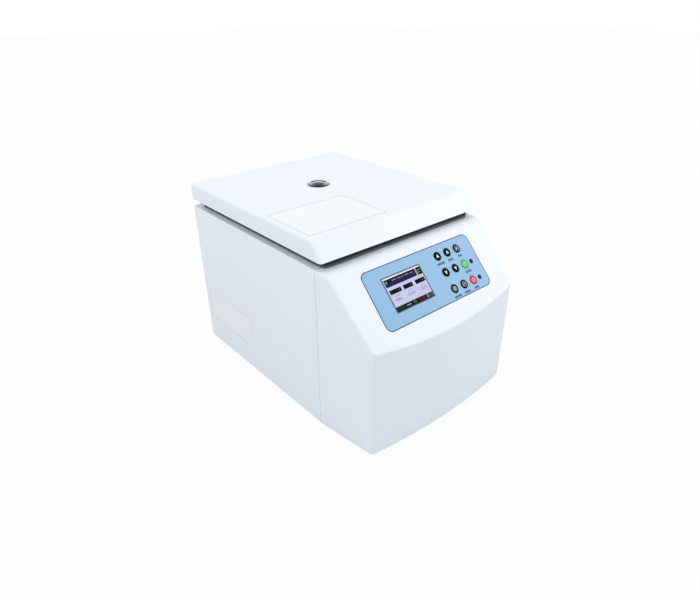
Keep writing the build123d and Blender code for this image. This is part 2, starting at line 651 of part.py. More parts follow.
def make_chamber():
    """Spun steel bowl, its mouth seal and the rubber boot between its floor and the motor."""
    r, t = CHAMBER_RADIUS, BOWL_SHEET
    top, low, blend = FRAME_TOP_Z + t, BOWL_FLOOR_Z, BOWL_BLEND
    rim = BOWL_RIM_RADIUS
    with BuildSketch(Plane.XZ) as section:
        with BuildLine():
            Polyline((BOWL_HOLE, low), (r + t - blend, low))
            RadiusArc((r + t - blend, low), (r + t, low + blend), -blend)
            Polyline((r + t, low + blend), (r + t, top - t), (rim, top - t))
            Polyline((rim, top - t), (rim, top), (r, top), (r, low + blend))
            RadiusArc((r, low + blend), (r + t - blend, low + t), blend - t)
            Polyline((r + t - blend, low + t), (BOWL_HOLE, low + t), (BOWL_HOLE, low))
        make_face()
    bowl = revolve(section.sketch, Axis.Z)
    keep("chamber_bowl", Pos(0, ROTOR_Y, 0) * bowl)

    seal = ring(rim - SEAL_INSET, r + SEAL_INSET, top, top + SEAL_HEIGHT, 0, ROTOR_Y)
    keep("chamber_seal", chamfer(seal.faces().sort_by(Axis.Z)[-1].edges(), SEAL_BEVEL))

    with BuildSketch(Plane.XZ) as boot:
        Polygon(
            (BOWL_HOLE + BOOT_FLANGE, low), (BOWL_HOLE + BOOT_FLANGE, low - BOOT_WALL),
            (BOWL_HOLE - BOOT_WALL, low - BOOT_WALL), (BOOT_WAIST, low - BOOT_LENGTH / 2),
            (BOWL_HOLE, MOTOR_TOP_Z), (BOWL_HOLE - BOOT_WALL, MOTOR_TOP_Z),
            (BOOT_WAIST - BOOT_WALL, low - BOOT_LENGTH / 2), (BOWL_HOLE - 2 * BOOT_WALL, low), align=None,
        )
    keep("shaft_boot", Pos(0, ROTOR_Y, 0) * revolve(boot.sketch, Axis.Z))


# ---- motor and rotor ---------------------------------------------------------------------------
def make_motor():
    """Drive motor with two bearings, on a plate that four rubber dampers carry."""
    y, low, top = ROTOR_Y, MOTOR_FOOT_Z, MOTOR_TOP_Z
    case = upright(MOTOR_RADIUS, low, top, 0, y)
    case = chamfer(case.faces().sort_by(Axis.Z)[-1].edges(), CASE_BEVEL)
    flute = Pos(MOTOR_RADIUS, 0, (low + top) / 2) * Box(*FLUTE_SIZE, top - low - 2 * FLUTE_FROM_END)
    for k in range(CASE_FLUTES):
        case -= Pos(0, y, 0) * Rot(0, 0, k * 360 / CASE_FLUTES) * flute
    case -= upright(SHAFT_RADIUS + CASE_BORE_GAP, low - OVER, top + OVER, 0, y)
    case -= upright(BEARING_RADIUS, low - OVER, low + BEARING_WIDTH, 0, y)
    case -= upright(BEARING_RADIUS, top - BEARING_WIDTH, top + OVER, 0, y)
    keep("motor_housing", case)

    seats = ((low, low + BEARING_WIDTH), (top - BEARING_WIDTH, top))
    keep("motor_bearings", Compound(children=[
        ring(BEARING_RADIUS, SHAFT_RADIUS + RUNNING_GAP, z0, z1, 0, y) for z0, z1 in seats
    ]))

    half = MOTOR_PLATE_SIDE / 2
    plate = block(-half, half, y - half, y + half, low - MOTOR_PLATE, low)
    plate = fillet(plate.edges().filter_by(Axis.Z), MOTOR_PLATE_CORNER)
    plate -= upright(SHAFT_RADIUS + MOTOR_PLATE_BORE_GAP, low - MOTOR_PLATE - OVER, low + OVER, 0, y)
    keep("motor_plate", plate)

    d = DAMPER_PITCH / 2
    z0, z1 = TRAY_Z, low - MOTOR_PLATE
    middle = (z0 + z1) / 2
    cut, height = DAMPER_WAIST
    dampers = []
    for x in (-d, d):
        for dy in (-d, d):
            low_cut, top_cut = middle - height / 2, middle + height / 2
            waist = ring(DAMPER_RADIUS + CUT, DAMPER_RADIUS - cut, low_cut, top_cut, x, y + dy)
            dampers.append(upright(DAMPER_RADIUS, z0, z1, x, y + dy) - waist)
    keep("motor_dampers", Compound(children=dampers))


def make_rotor():
    """Shaft, H-shaped yoke, trunnion pins and the knurled nut that clamps the yoke."""
    y, z = ROTOR_Y, TRUNNION_Z
    hub_low, hub_top = z - HUB_DROP, z + ARM_HEIGHT / 2
    collar, collar_height = SHAFT_COLLAR
    spigot = SHAFT_RADIUS - SHAFT_STEP
    shaft = upright(SHAFT_RADIUS, MOTOR_FOOT_Z + OVER, hub_low, 0, y)
    shaft += upright(spigot, hub_low, hub_top + SHAFT_END, 0, y)
    shaft += upright(SHAFT_RADIUS + collar, hub_low - collar_height, hub_low, 0, y)
    keep("motor_shaft", shaft)

    arm = Plane.XZ * SlotCenterToCenter(2 * TRUNNION_X, ARM_HEIGHT)
    side = Pos(0, 0, z) * extrude(arm, amount=ARM_THICK, dir=(0, 1, 0))
    reach = ARM_END_Y
    yoke = Pos(0, y + ARM_FACE_Y, 0) * side + Pos(0, y - reach, 0) * side
    reach_in = ARM_FACE_Y + OVER
    web = block(-HUB_WEB / 2, HUB_WEB / 2, y - reach_in, y + reach_in, z - WEB_DROP, hub_top - WEB_BELOW_HUB)
    yoke += web + upright(HUB_RADIUS, hub_low, hub_top, 0, y)
    for sx in (-1, 1):
        for sy in (-1, 1):
            corner = Pos(sx * HUB_WEB / 2, y + sy * ARM_FACE_Y, z - WEB_DROP)
            gusset = corner * Rot(0, 0, 45) * Box(GUSSET_SIZE[0], *GUSSET_SIZE)
            room = block(-TRUNNION_X, TRUNNION_X, y - reach + OVER, y + reach - OVER, z - WEB_DROP, z)
            yoke += gusset & room
            yoke -= bar_y(TRUNNION_RADIUS, sx * TRUNNION_X, y - reach - OVER, y + reach + OVER, z)
            middle = y + sy * (ARM_FACE_Y + ARM_THICK / 2)
            yoke -= bar_y(ARM_HOLE_RADIUS, sx * ARM_HOLE_X, middle - ARM_THICK, middle + ARM_THICK, z)
    yoke -= upright(spigot, hub_low - OVER, hub_top + OVER, 0, y)
    keep("rotor_yoke", yoke)

    pins = []
    for x in (-TRUNNION_X, TRUNNION_X):
        near, far = ARM_FACE_Y - ARM_GAP - LUG_REACH + PIN_LAP, reach
        pins.append(bar_y(TRUNNION_RADIUS, x, y + near, y + far, z))
        pins.append(bar_y(TRUNNION_RADIUS, x, y - far, y - near, z))
    keep("trunnion_pins", Compound(children=pins))

    nut = upright(NUT_RADIUS, hub_top, hub_top + NUT_HEIGHT, 0, y)
    nut = chamfer(nut.faces().sort_by(Axis.Z)[-1].edges(), NUT_BEVEL)
    groove = upright(GROOVE_RADIUS, hub_top - OVER, hub_top + NUT_HEIGHT + OVER, NUT_RADIUS + OVER)
    for k in range(NUT_GROOVES):
        nut -= Pos(0, y, 0) * Rot(0, 0, k * 360 / NUT_GROOVES) * groove
    nut -= upright(spigot, hub_top - OVER, hub_top + SHAFT_END, 0, y)
    keep("rotor_nut", nut)


def make_carrier(name, side):
    """Swing-out tray for microplates, hung on its two trunnions, and the pad on its floor."""
    x, y, z = side * TRUNNION_X, ROTOR_Y, TRUNNION_Z
    low, top = z - CARRIER_BELOW, z + CARRIER_ABOVE
    tray = block(x - CARRIER_HALF_X, x + CARRIER_HALF_X, y - CARRIER_HALF_Y, y + CARRIER_HALF_Y, low, top)
    tray = fillet(tray.edges().filter_by(Axis.Z), CARRIER_CORNER)
    tray = fillet(tray.faces().sort_by(Axis.Z)[0].edges(), CARRIER_FOOT_BLEND)
    lug = bar_y(LUG_RADIUS, x, y - LUG_FACE_Y, y + LUG_FACE_Y, z)
    lug += block(x - LUG_RADIUS, x + LUG_RADIUS, y - LUG_FACE_Y, y + LUG_FACE_Y, z - LUG_DROP, z)
    reach = LUG_RADIUS + OVER
    tray += lug & block(x - reach, x + reach, y - LUG_FACE_Y, y + LUG_FACE_Y, low, top)
    half_x, half_y = PLATE_WIDTH / 2, PLATE_LENGTH / 2
    tray -= block(x - half_x, x + half_x, y - half_y, y + half_y, low + CARRIER_FLOOR, top + CUT)
    slot = TRUNNION_RADIUS + RUNNING_GAP
    tray -= bar_y(slot, x, y - ARM_END_Y, y + ARM_END_Y, z)
    for s in (-1, 1):
        y0, y1 = sorted((y + s * (half_y - OVER), y + s * (LUG_FACE_Y + OVER)))
        tray -= block(x - slot, x + slot, y0, y1, z - PIN_SLOT_DROP, z)
    for s in (-1, 1):
        x0, x1 = sorted((x + s * (half_x - OVER), x + s * (CARRIER_HALF_X + OVER)))
        for dy in CARRIER_WINDOWS:
            y0, y1 = y + dy - WINDOW_WIDTH / 2, y + dy + WINDOW_WIDTH / 2
            tray -= block(x0, x1, y0, y1, low + WINDOW_FROM_FLOOR, top - WINDOW_FROM_TOP)
    keep("carrier_" + name, tray)

    floor = low + CARRIER_FLOOR
    half_x, half_y = half_x - PAD_MARGIN, half_y - PAD_MARGIN
    pad = block(x - half_x, x + half_x, y - half_y, y + half_y, floor, floor + PAD_THICK)
    keep("carrier_pad_" + name, fillet(pad.edges().filter_by(Axis.Z), PAD_CORNER))


# ---- lid ------------------------------------------------------------------------------------------
def lid_form(wall):
    """Closed form of the lid, wall inside its outer skin, with its slanted nose."""
    slant = math.atan2(LID_THICK, LID_SLANT)
    shift = wall * math.tan(slant / 2)
    y0 = LID_FRONT_Y
    top, back, half = LID_TOP_Z - wall, REAR_Y - wall, LID_WIDTH / 2 - wall
    run = LID_SLANT / LID_THICK
    low = LID_RIM_Z - (CUT if wall else 0)
    foot = y0 + wall / math.sin(slant) + (low - LID_RIM_Z) * run
    crest = y0 + LID_SLANT + shift
    profile = Plane.YZ * Polygon((foot, low), (crest, top), (back, top), (back, low), align=None)
    form = Pos(-half, 0, 0) * extrude(profile, amount=2 * half, dir=(1, 0, 0))
    blend = max(LID_CORNER - wall, 1)
    sides = form.edges().filter_by(lambda e: abs(e.center().X) > half - NEAR)
    corners = sides.filter_by(lambda e: abs(e.tangent_at(0.5).Y) < math.cos(slant / 2))
    form = fillet(corners, blend)
    crown = form.faces().sort_by(Axis.Z)[-1].edges()
    return fillet(crown, max(LID_EDGE - wall, 1) * CROWN_EASE)


def make_lid():
    """Pressed lid skin, the plate that closes it from below, and the sight glass in the middle."""
    shell = lid_form(0) - lid_form(LID_SHEET)
    shell -= upright(SIGHT_TUBE + RUNNING_GAP, LID_RIM_Z - CUT, LID_TOP_Z + CUT, 0, ROTOR_Y)
    keep("lid_shell", shell)

    half = LID_WIDTH / 2 - LID_SHEET - FIT_GAP
    y0, y1 = FRAME_FRONT_Y, REAR_Y - LID_SHEET - FIT_GAP
    liner = block(-half, half, y0, y1, LINER_Z, LINER_Z + LINER_RIM)
    liner = fillet(liner.edges().filter_by(Axis.Z), LID_CORNER - LID_SHEET)
    side, back, floor = half - LINER_SHEET, y1 - LINER_SHEET, LINER_Z + LINER_SHEET
    hollow = block(-side, side, y0 - CUT, back, floor, LID_TOP_Z)
    bend = LID_CORNER - LID_SHEET - LINER_SHEET
    liner -= fillet(hollow.edges().filter_by(Axis.Z).sort_by(Axis.Y)[-2:], bend)
    liner -= block(-half - OVER, half + OVER, y0 - OVER, y0 + LINER_RIM, floor, LID_TOP_Z)
    liner -= upright(SIGHT_TUBE + RUNNING_GAP, LINER_Z - CUT, LINER_Z + CUT, 0, ROTOR_Y)
    keep("lid_liner", liner)

    low, bezel_top = LINER_Z - SIGHT_NUT_THICK, LID_TOP_Z + SIGHT_FLANGE
    with BuildSketch(Plane.XZ) as bezel:
        Polygon(
            (SIGHT_BORE, low), (SIGHT_TUBE, low), (SIGHT_TUBE, LID_TOP_Z), (SIGHT_RADIUS, LID_TOP_Z),
            (SIGHT_RADIUS - BEZEL_EDGE[0], LID_TOP_Z + BEZEL_EDGE[1]), (SIGHT_TUBE + BEZEL_CREST, bezel_top),
            (SIGHT_BORE + BEZEL_FALL[0], bezel_top - BEZEL_FALL[1]), (SIGHT_BORE, LID_TOP_Z + BEZEL_MOUTH), align=None,
        )
    seat = SIGHT_BORE - SIGHT_LIP
    lens_z = LID_TOP_Z - LENS_SEAT
    bezel_ring = revolve(bezel.sketch, Axis.Z) + ring(SIGHT_BORE, seat, lens_z - SIGHT_LIP_THICK, lens_z)
    keep("sight_ring", Pos(0, ROTOR_Y, 0) * bezel_ring)
    rim_z = LID_TOP_Z + LENS_EDGE
    ball = (SIGHT_BORE**2 + LENS_CROWN**2) / (2 * LENS_CROWN)
    lens = upright(SIGHT_BORE, lens_z, rim_z + LENS_CROWN, 0, ROTOR_Y)
    lens &= Pos(0, ROTOR_Y, rim_z + LENS_CROWN - ball) * Sphere(ball)
    keep("sight_lens", lens)
    nut = ring(SIGHT_RADIUS + SIGHT_NUT_FLANGE, SIGHT_TUBE, low, LINER_Z, 0, ROTOR_Y)
    keep("sight_nut", nut)


def make_hinges():
    """Two butt hinges at the rear: brackets on the cabinet, arms on the lid, and their pins."""
    half = HINGE_LENGTH / 2
    brackets, arms, pins = [], [], []
    y, z = HINGE_Y, HINGE_Z
    for x in (-HINGE_X, HINGE_X):
        leaf = block(x - half, x + half, y - LEAF_REACH, y + LEAF_LAP, DECK_Z, DECK_Z + HINGE_LEAF)
        for s in (-1, 1):
            x0, x1 = sorted((x + s * half, x + s * (half - KNUCKLE)))
            leaf += bar_x(HINGE_BARREL, x0, x1, y, z)
            leaf += block(x0, x1, y - HINGE_BARREL, y + LEAF_LAP, DECK_Z, z)
        leaf -= bar_x(HINGE_PIN, x - half - OVER, x + half + OVER, y, z)
        brackets.append(leaf)
        reach = half - KNUCKLE - ARM_END_GAP
        arm = bar_x(HINGE_BARREL, x - reach, x + reach, y, z)
        arm += block(x - reach, x + reach, y - HINGE_BARREL, y - ARM_SETBACK, z, LINER_Z)
        arm += block(x - reach, x + reach, y - ARM_PLATE[0], y, LINER_Z - ARM_PLATE[1], LINER_Z)
        arm -= bar_x(HINGE_PIN + RUNNING_GAP, x - half, x + half, y, z)
        arms.append(arm)
        pins.append(bar_x(HINGE_PIN, x - half, x + half, y, z))
    keep("hinge_brackets", Compound(children=brackets))
    keep("hinge_arms", Compound(children=arms))
    keep("hinge_pins", Compound(children=pins))


def make_lock():
    """Striker on the lid, and the housing, bolt and solenoid that lock it."""
    y, z, t = STRIKER_Y, BOLT_Z, STRIKER_THICK / 2
    half = STRIKER_WIDTH / 2
    striker = block(-t, t, y - half, y + half, z - STRIKER_TIP, LINER_Z)
    striker = fillet(striker.edges().filter_by(Axis.X).sort_by(Axis.Z)[:2], STRIKER_BLEND)
    foot, foot_thick = STRIKER_FOOT
    striker += block(-foot / 2, foot / 2, y - half, y + half, LINER_Z - foot_thick, LINER_Z)
    striker -= bar_x(STRIKER_HOLE, -CUT, CUT, y, z)
    keep("lid_striker", striker)

    low = CHASSIS_LOW_Z
    side, wide = LOCK_HALF, half + LOCK_WALL
    slot_x, slot_y = t + LOCK_SLOT_GAP[0], half + LOCK_SLOT_GAP[1]
    housing = block(-side, side, y - wide, y + wide, z - LOCK_HALF, low)
    housing -= block(-slot_x, slot_x, y - slot_y, y + slot_y, z - LOCK_SLOT_DROP, low + OVER)
    housing -= bar_x(BOLT_RADIUS + RUNNING_GAP, -LOCK_SLOT_DROP, side + OVER, y, z)
    keep("lock_housing", housing)

    length, width, height = SOLENOID
    coil = block(side, side + length, y - width / 2, y + width / 2, low - height, low)
    coil = fillet(coil.edges().filter_by(Axis.X), SOLENOID_BLEND)
    coil -= bar_x(BOLT_RADIUS + RUNNING_GAP, side - OVER, side + length - SOLENOID_END_WALL, y, z)
    keep("lock_solenoid", coil)
    keep("lock_bolt", bar_x(BOLT_RADIUS, t + BOLT_BACK, side + length - BOLT_END_GAP, y, z))


# ---- rear panel ------------------------------------------------------------------------------------
def make_fan():
    """Axial fan behind the rear grille: a square frame and a bladed wheel on its hub."""
    (x, z), half = FAN_CENTRE, FAN_SIDE / 2
    y1 = REAR_Y - SHEET
    y0 = y1 - FAN_DEPTH
    frame = block(x - half, x + half, y0, y1, z - half, z + half)
    frame = fillet(frame.edges().filter_by(Axis.Y), FAN_CORNER)
    frame -= bar_y(FAN_DUCT, x, y0 - OVER, y1 + OVER, z)
    for sx, sz in rear_screw_places()[:4]:
        frame -= bar_y(SCREW_SHANK, sx, y0 - OVER, y1 + OVER, sz)
    thick = FAN_SPOKE[1]
    for k in range(4):
        turned = Pos(x, y0 + thick / 2, z) * Rot(0, 45 + 90 * k, 0)
        spoke = turned * Pos(FAN_SPOKE_MIDDLE, 0, 0) * Box(*FAN_SPOKE)
        frame += spoke & block(x - half, x + half, y0, y0 + thick, z - half, z + half)
    frame += bar_y(FAN_HUB, x, y0, y0 + thick, z)
    pin, pin_length = FAN_PIN
    frame += bar_y(pin, x, y0 + thick, y0 + thick + pin_length, z)
    keep("fan_frame", frame)

    hub0, hub1 = y0 + HUB_INSET[0], y1 - HUB_INSET[1]
    wheel = bar_y(FAN_HUB, x, hub0, hub1, z)
    wheel = chamfer(wheel.faces().sort_by(Axis.Y)[-1].edges(), HUB_BEVEL)
    for k in range(FAN_BLADES):
        blade = Pos(BLADE_MIDDLE, 0, 0) * Rot(BLADE_ANGLE, 0, 0) * Box(*BLADE_SIZE)
        reach = bar_y(FAN_DUCT - BLADE_TIP_GAP, 0, -(hub1 - hub0) / 2, (hub1 - hub0) / 2, 0)
        wheel += Pos(x, (hub0 + hub1) / 2, z) * Rot(0, k * 360 / FAN_BLADES, 0) * (blade & reach)
    wheel -= bar_y(pin + RUNNING_GAP, x, hub0 - OVER, y0 + thick + pin_length + FAN_PIN_GAP, z)
    keep("fan_wheel", wheel)


def rear_screw_places():
    """Where the screws of the rear panel sit: the fan's four corners, and down both edges."""
    (fx, fz), fan = FAN_CENTRE, FAN_SIDE / 2 - FAN_SCREW_INSET
    places = [(fx + a * fan, fz + b * fan) for a in (-1, 1) for b in (-1, 1)]
    edge = BODY_WIDTH / 2 - EDGE_SCREW_INSET
    heights = (BASE_Z + BASE_EDGE / 2, (BASE_Z + DECK_Z) / 2, DECK_Z - EDGE_SCREW_INSET)
    return places + [(side * edge, z) for side in (-1, 1) for z in heights]


def make_rear_screws():
    """Domed screws through the rear panel, as one group."""
    screws = []
    for x, z in rear_screw_places():
        head = bar_y(SCREW_HEAD, x, REAR_Y, REAR_Y + SCREW_RISE, z)
        head = chamfer(head.faces().sort_by(Axis.Y)[-1].edges(), SCREW_RISE / 2)
        screws.append(head + bar_y(SCREW_SHANK, x, REAR_Y - SCREW_LENGTH, REAR_Y, z))
    keep("rear_screws", Compound(children=screws))


def make_power_entry():
    """Mains inlet with its three blades, and the rocker switch beside it."""
    (x, z), (fw, fh), (sw, sh) = INLET_CENTRE, INLET_FLANGE, INLET_SOCKET
    inner = REAR_Y - INLET_DEPTH - INLET_FLOOR
    inlet = block(x - fw / 2, x + fw / 2, REAR_Y, REAR_Y + REAR_PROUD, z - fh / 2, z + fh / 2)
    inlet = fillet(inlet.edges().filter_by(Axis.Y), INLET_CORNER)
    half_x, half_z, floor = sw / 2 + INLET_WALL, sh / 2 + INLET_WALL, inner + INLET_FLOOR
    inlet += block(x - half_x, x + half_x, inner, REAR_Y, z - half_z, z + half_z)
    socket = block(x - sw / 2, x + sw / 2, floor, REAR_Y + CUT, z - sh / 2, z + sh / 2)
    socket = chamfer(socket.edges().filter_by(Axis.Y).sort_by(Axis.Z)[-2:], SOCKET_BEVEL)
    keep("power_inlet", inlet - socket)
    bx, bz = BLADE_HALF
    blades = [block(x + dx - bx, x + dx + bx, floor, floor + BLADE_LENGTH, z + dz - bz, z + dz + bz)
              for dx, dz in BLADE_PLACES]
    keep("inlet_blades", Compound(children=blades))

    (x, z), (fw, fh), (rw, rh) = SWITCH_CENTRE, SWITCH_FLANGE, ROCKER_SIZE
    frame = block(x - fw / 2, x + fw / 2, REAR_Y, REAR_Y + SWITCH_RIM, z - fh / 2, z + fh / 2)
    frame = fillet(frame.edges().filter_by(Axis.Y), SWITCH_CORNER)
    deep, hollow = SWITCH_DEPTH
    half_x, half_z = rw / 2 + SWITCH_WALL, rh / 2 + SWITCH_WALL
    frame += block(x - half_x, x + half_x, REAR_Y - deep, REAR_Y, z - half_z, z + half_z)
    frame -= block(x - rw / 2, x + rw / 2, REAR_Y - hollow, REAR_Y + CUT, z - rh / 2, z + rh / 2)
    frame += bar_x(AXLE_RADIUS, x - rw / 2, x + rw / 2, REAR_Y - ROCKER_AXLE, z)
    keep("switch_frame", frame)

    # The rocker is drawn level and then laid over to "off", with its lower half flush.
    reach, rise = ROCKER_REACH, ROCKER_REACH * math.tan(math.radians(ROCKER_TILT))
    face, (heel, heel_half) = ROCKER_AXLE - ROCKER_GAP, ROCKER_HEEL
    points = ((-heel, -heel_half), (face + rise, -reach), (face, 0), (face + rise, reach), (-heel, heel_half))
    outline = Plane.YZ * Polygon(*points, align=None)
    rocker = Pos(-rw / 2 + ROCKER_GAP, 0, 0) * extrude(outline, amount=rw - 2 * ROCKER_GAP, dir=(1, 0, 0))
    rocker -= bar_x(AXLE_RADIUS + RUNNING_GAP, -rw, rw, 0, 0)
    rocker = Pos(x, REAR_Y - ROCKER_AXLE, z) * Rot(-ROCKER_TILT, 0, 0) * rocker
    keep("power_rocker", rocker)


def make_release_plug():
    """Flush plug in the right-hand side, over the hole for the emergency lid release."""
    side, y = BODY_WIDTH / 2, PLUG_Y
    plug = bar_x(PLUG_HEAD, side - SHEET, side, y, PLUG_Z)
    plug += bar_x(PLUG_STEM, side - PLUG_LENGTH, side - SHEET, y, PLUG_Z)
    keep("release_plug", plug)


def make_electronics():
    """Drive board with its heat sink and capacitors, on a folded bracket behind the control slope."""
    y0, y1 = FRONT_LINE_Y + DRIVE_FROM_FRONT, SEAM_Y + DRIVE_PAST_SEAM
    half, floor, low = DRIVE_WIDTH / 2, TRAY_Z, TRAY_Z + DRIVE_SHEET
    bracket = block(-half, half, y0, y1, floor, low)
    bracket += block(-half, half, y0, y0 + DRIVE_SHEET, floor, floor + DRIVE_LIP)
    keep("drive_bracket", bracket)

    inset_x, inset_y = DRIVE_BOARD_INSET
    top = low + DRIVE_BOARD_THICK
    board = block(-half + inset_x, half - inset_x, y0 + inset_y, y1 - inset_x, low, top)
    left, front, back = -half + SINK_FROM_EDGE[0], y0 + inset_y + SINK_FROM_EDGE[1], y1 - SINK_FROM_EDGE[0]
    sink = block(left, left + SINK_WIDTH, front, back, top, top + SINK_BASE)
    for k in range(SINK_FINS):
        x = left + FIN_THICK + k * FIN_PITCH
        sink += block(x, x + FIN_THICK, front, back, top + SINK_BASE, top + FIN_HEIGHT)
    board += sink
    for x in CAN_PLACES:
        board += upright(CAN_RADIUS, top, top + CAN_HEIGHT, x, (y0 + y1) / 2)
    keep("drive_board", board)


def main():
    """Builds every piece and writes one STEP file per node."""
    make_front_housing()
    make_control_panel()
    make_wrap()
    make_base()
    make_chassis()
    make_deck_frame()
    make_chamber()
    make_motor()
    make_rotor()
    make_carrier("left", -1)
    make_carrier("right", 1)
    make_lid()
    make_hinges()
    make_lock()
    make_fan()
    make_rear_screws()
    make_power_entry()
    make_release_plug()
    make_electronics()
    os.makedirs("parts", exist_ok=True)
    for name, shape in PARTS.items():
        export_step(shape, f"parts/{name}.step")
    print(len(PARTS), "nodes written")


main()
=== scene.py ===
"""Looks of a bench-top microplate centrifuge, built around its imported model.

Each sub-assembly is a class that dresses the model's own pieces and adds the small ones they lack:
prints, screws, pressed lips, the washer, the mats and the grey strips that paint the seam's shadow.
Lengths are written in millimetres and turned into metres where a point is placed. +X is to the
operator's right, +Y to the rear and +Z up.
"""

import logging
import math
from dataclasses import dataclass, field
from enum import Enum
from functools import cache
from typing import Any, Callable, Iterable, Sequence

import bpy
import bmesh
from bmesh.types import BMesh, BMVert
from bpy.types import ID, Material, Node, NodeSocket, NodeTree, Object, World
from mathutils import Matrix, Vector


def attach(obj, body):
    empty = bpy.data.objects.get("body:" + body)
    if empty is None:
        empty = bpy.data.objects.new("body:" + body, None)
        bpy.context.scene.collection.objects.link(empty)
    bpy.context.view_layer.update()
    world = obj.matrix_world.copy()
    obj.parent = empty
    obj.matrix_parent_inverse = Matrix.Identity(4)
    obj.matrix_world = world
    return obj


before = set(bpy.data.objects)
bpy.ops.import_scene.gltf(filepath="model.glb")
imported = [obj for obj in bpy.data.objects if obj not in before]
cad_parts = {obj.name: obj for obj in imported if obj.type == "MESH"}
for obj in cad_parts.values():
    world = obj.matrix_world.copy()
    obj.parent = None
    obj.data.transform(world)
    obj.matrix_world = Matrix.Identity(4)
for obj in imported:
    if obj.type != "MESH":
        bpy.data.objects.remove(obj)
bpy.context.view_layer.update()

LOG = logging.getLogger("centrifuge")
MM = 0.001
RIGHT, REAR, UP = Vector((1, 0, 0)), Vector((0, 1, 0)), Vector((0, 0, 1))
SHARP_ANGLE = math.radians(32)
MERGE_WITHIN = 1e-6
ROTOR_Y = 97.468  # where the rotor's axis stands
SUNK = 0.02  # how deep a print's underside lies in the face under it
BEND_SLACK = 0.01  # what a rim's corner radius stays under half its side
KEYS = ("speed_up", "time_up", "menu", "speed_down", "time_down", "start", "program", "mode", "stop")

Point = Colour = tuple[float, float, float]
Pair = tuple[float, float]
Box = tuple[float, float, float, float]
Outline = Sequence[Pair]


def srgb(*parts: float) -> Colour:
    """Turns a screen colour, 0 to 255 in each part, into the linear one that shaders take."""
    return tuple(part / 12.92 if part <= 0.04045 else ((part + 0.055) / 1.055) ** 2.4
                 for part in (whole / 255 for whole in parts))


# ---- trees of nodes ------------------------------------------------------------------------------
class Graph:
    """A node tree under construction, with one short call per node."""

    def __init__(self, tree: NodeTree) -> None:
        """Wraps a shader or geometry tree."""
        self.tree = tree

    def add(self, kind: str, inputs: dict[Any, Any] | None = None, **settings: Any) -> Node:
        """Adds a node.

        Args:
            kind: the node's type name, which may leave out ShaderNode.
            inputs: values or output sockets, by input name or number.
            settings: the node's own properties.

        Returns:
            The new node.
        """
        node = self.tree.nodes.new(kind if "Node" in kind else "ShaderNode" + kind)
        for name, value in settings.items():
            setattr(node, name, value)
        for name, value in (inputs or {}).items():
            if isinstance(value, NodeSocket):
                self.tree.links.new(value, node.inputs[name])
            else:
                node.inputs[name].default_value = value
        return node

    def out(self, kind: str, inputs: dict[Any, Any] | None = None, **settings: Any) -> NodeSocket:
        """Adds a node and gives its first output."""
        return self.add(kind, inputs, **settings).outputs[0]

    def maths(self, operation: str, first: Any, second: Any = 0.0) -> NodeSocket:
        """Adds a Math node and gives its output."""
        return self.out("Math", {0: first, 1: second}, operation=operation)

    def noise(self, place: NodeSocket, scale: Any, detail: float) -> NodeSocket:
        """Adds noise and gives its height."""
        return self.out("TexNoise", {"Vector": place, "Scale": scale, "Detail": detail})

    def effect(self, tree: NodeTree, **values: Any) -> bpy.types.NodeOutputs:
        """Adds a shared group with some values and gives its outputs."""
        return self.add("Group", values, node_tree=tree).outputs

    def by_angle(self, low: float, high: float, straight: NodeSocket, slanting: NodeSocket) -> NodeSocket:
        """Mixes two surfaces by the angle at which they are seen.

        Args:
            low, high: Facing levels between which the first gives way to the second.
            straight: what is seen straight on.
            slanting: what is seen at a flat angle.

        Returns:
            The mixed surface.
        """
        facing = self.add("LayerWeight", {"Blend": 0.5}).outputs["Facing"]
        share = self.out("MapRange", {"Value": facing, "From Min": low, "From Max": high})
        return self.out("MixShader", {0: share, 1: straight, 2: slanting})


def blank(owner: Material | World) -> Graph:
    """Empties the node tree of a material or a world.

    Args:
        owner: the material or world.

    Returns:
        Its tree, to build in.
    """
    owner.use_nodes = True
    owner.node_tree.nodes.clear()
    return Graph(owner.node_tree)


class Grouped(Graph):
    """A node group with named inputs and outputs."""

    def __init__(self, name: str, kind: str, takes: dict[str, Any], gives: dict[str, str]) -> None:
        """Makes the group and its sockets.

        Args:
            name: the group's name.
            kind: ShaderNodeTree or GeometryNodeTree.
            takes: its inputs, each with its first value, or with a socket type if it has none.
            gives: its outputs, each with its socket type.
        """
        super().__init__(bpy.data.node_groups.new(name, kind))
        self.sockets: dict[str, str] = {}
        for title, value in takes.items():
            made = self.socket(title, "INPUT", value if isinstance(value, str) else self.type_of(value))
            self.sockets[title] = made.identifier
            if not isinstance(value, str):
                made.default_value = value
        for title, socket in gives.items():
            self.socket(title, "OUTPUT", socket)
        self.entry = self.add("NodeGroupInput").outputs
        self.exit = self.add("NodeGroupOutput").inputs

    def socket(self, title: str, side: str, kind: str) -> bpy.types.NodeTreeInterfaceSocket:
        """Adds one socket to the group's interface."""
        return self.tree.interface.new_socket(title, in_out=side, socket_type="NodeSocket" + kind)

    @staticmethod
    def type_of(value: float | Sequence[float]) -> str:
        """The socket type that takes a value: a number, a vector or a colour."""
        return "Float" if isinstance(value, float) else {3: "Vector", 4: "Color"}[len(value)]

    def give(self, name: str, socket: NodeSocket) -> NodeTree:
        """Feeds one of the group's outputs and gives its tree."""
        self.tree.links.new(socket, self.exit[name])
        return self.tree


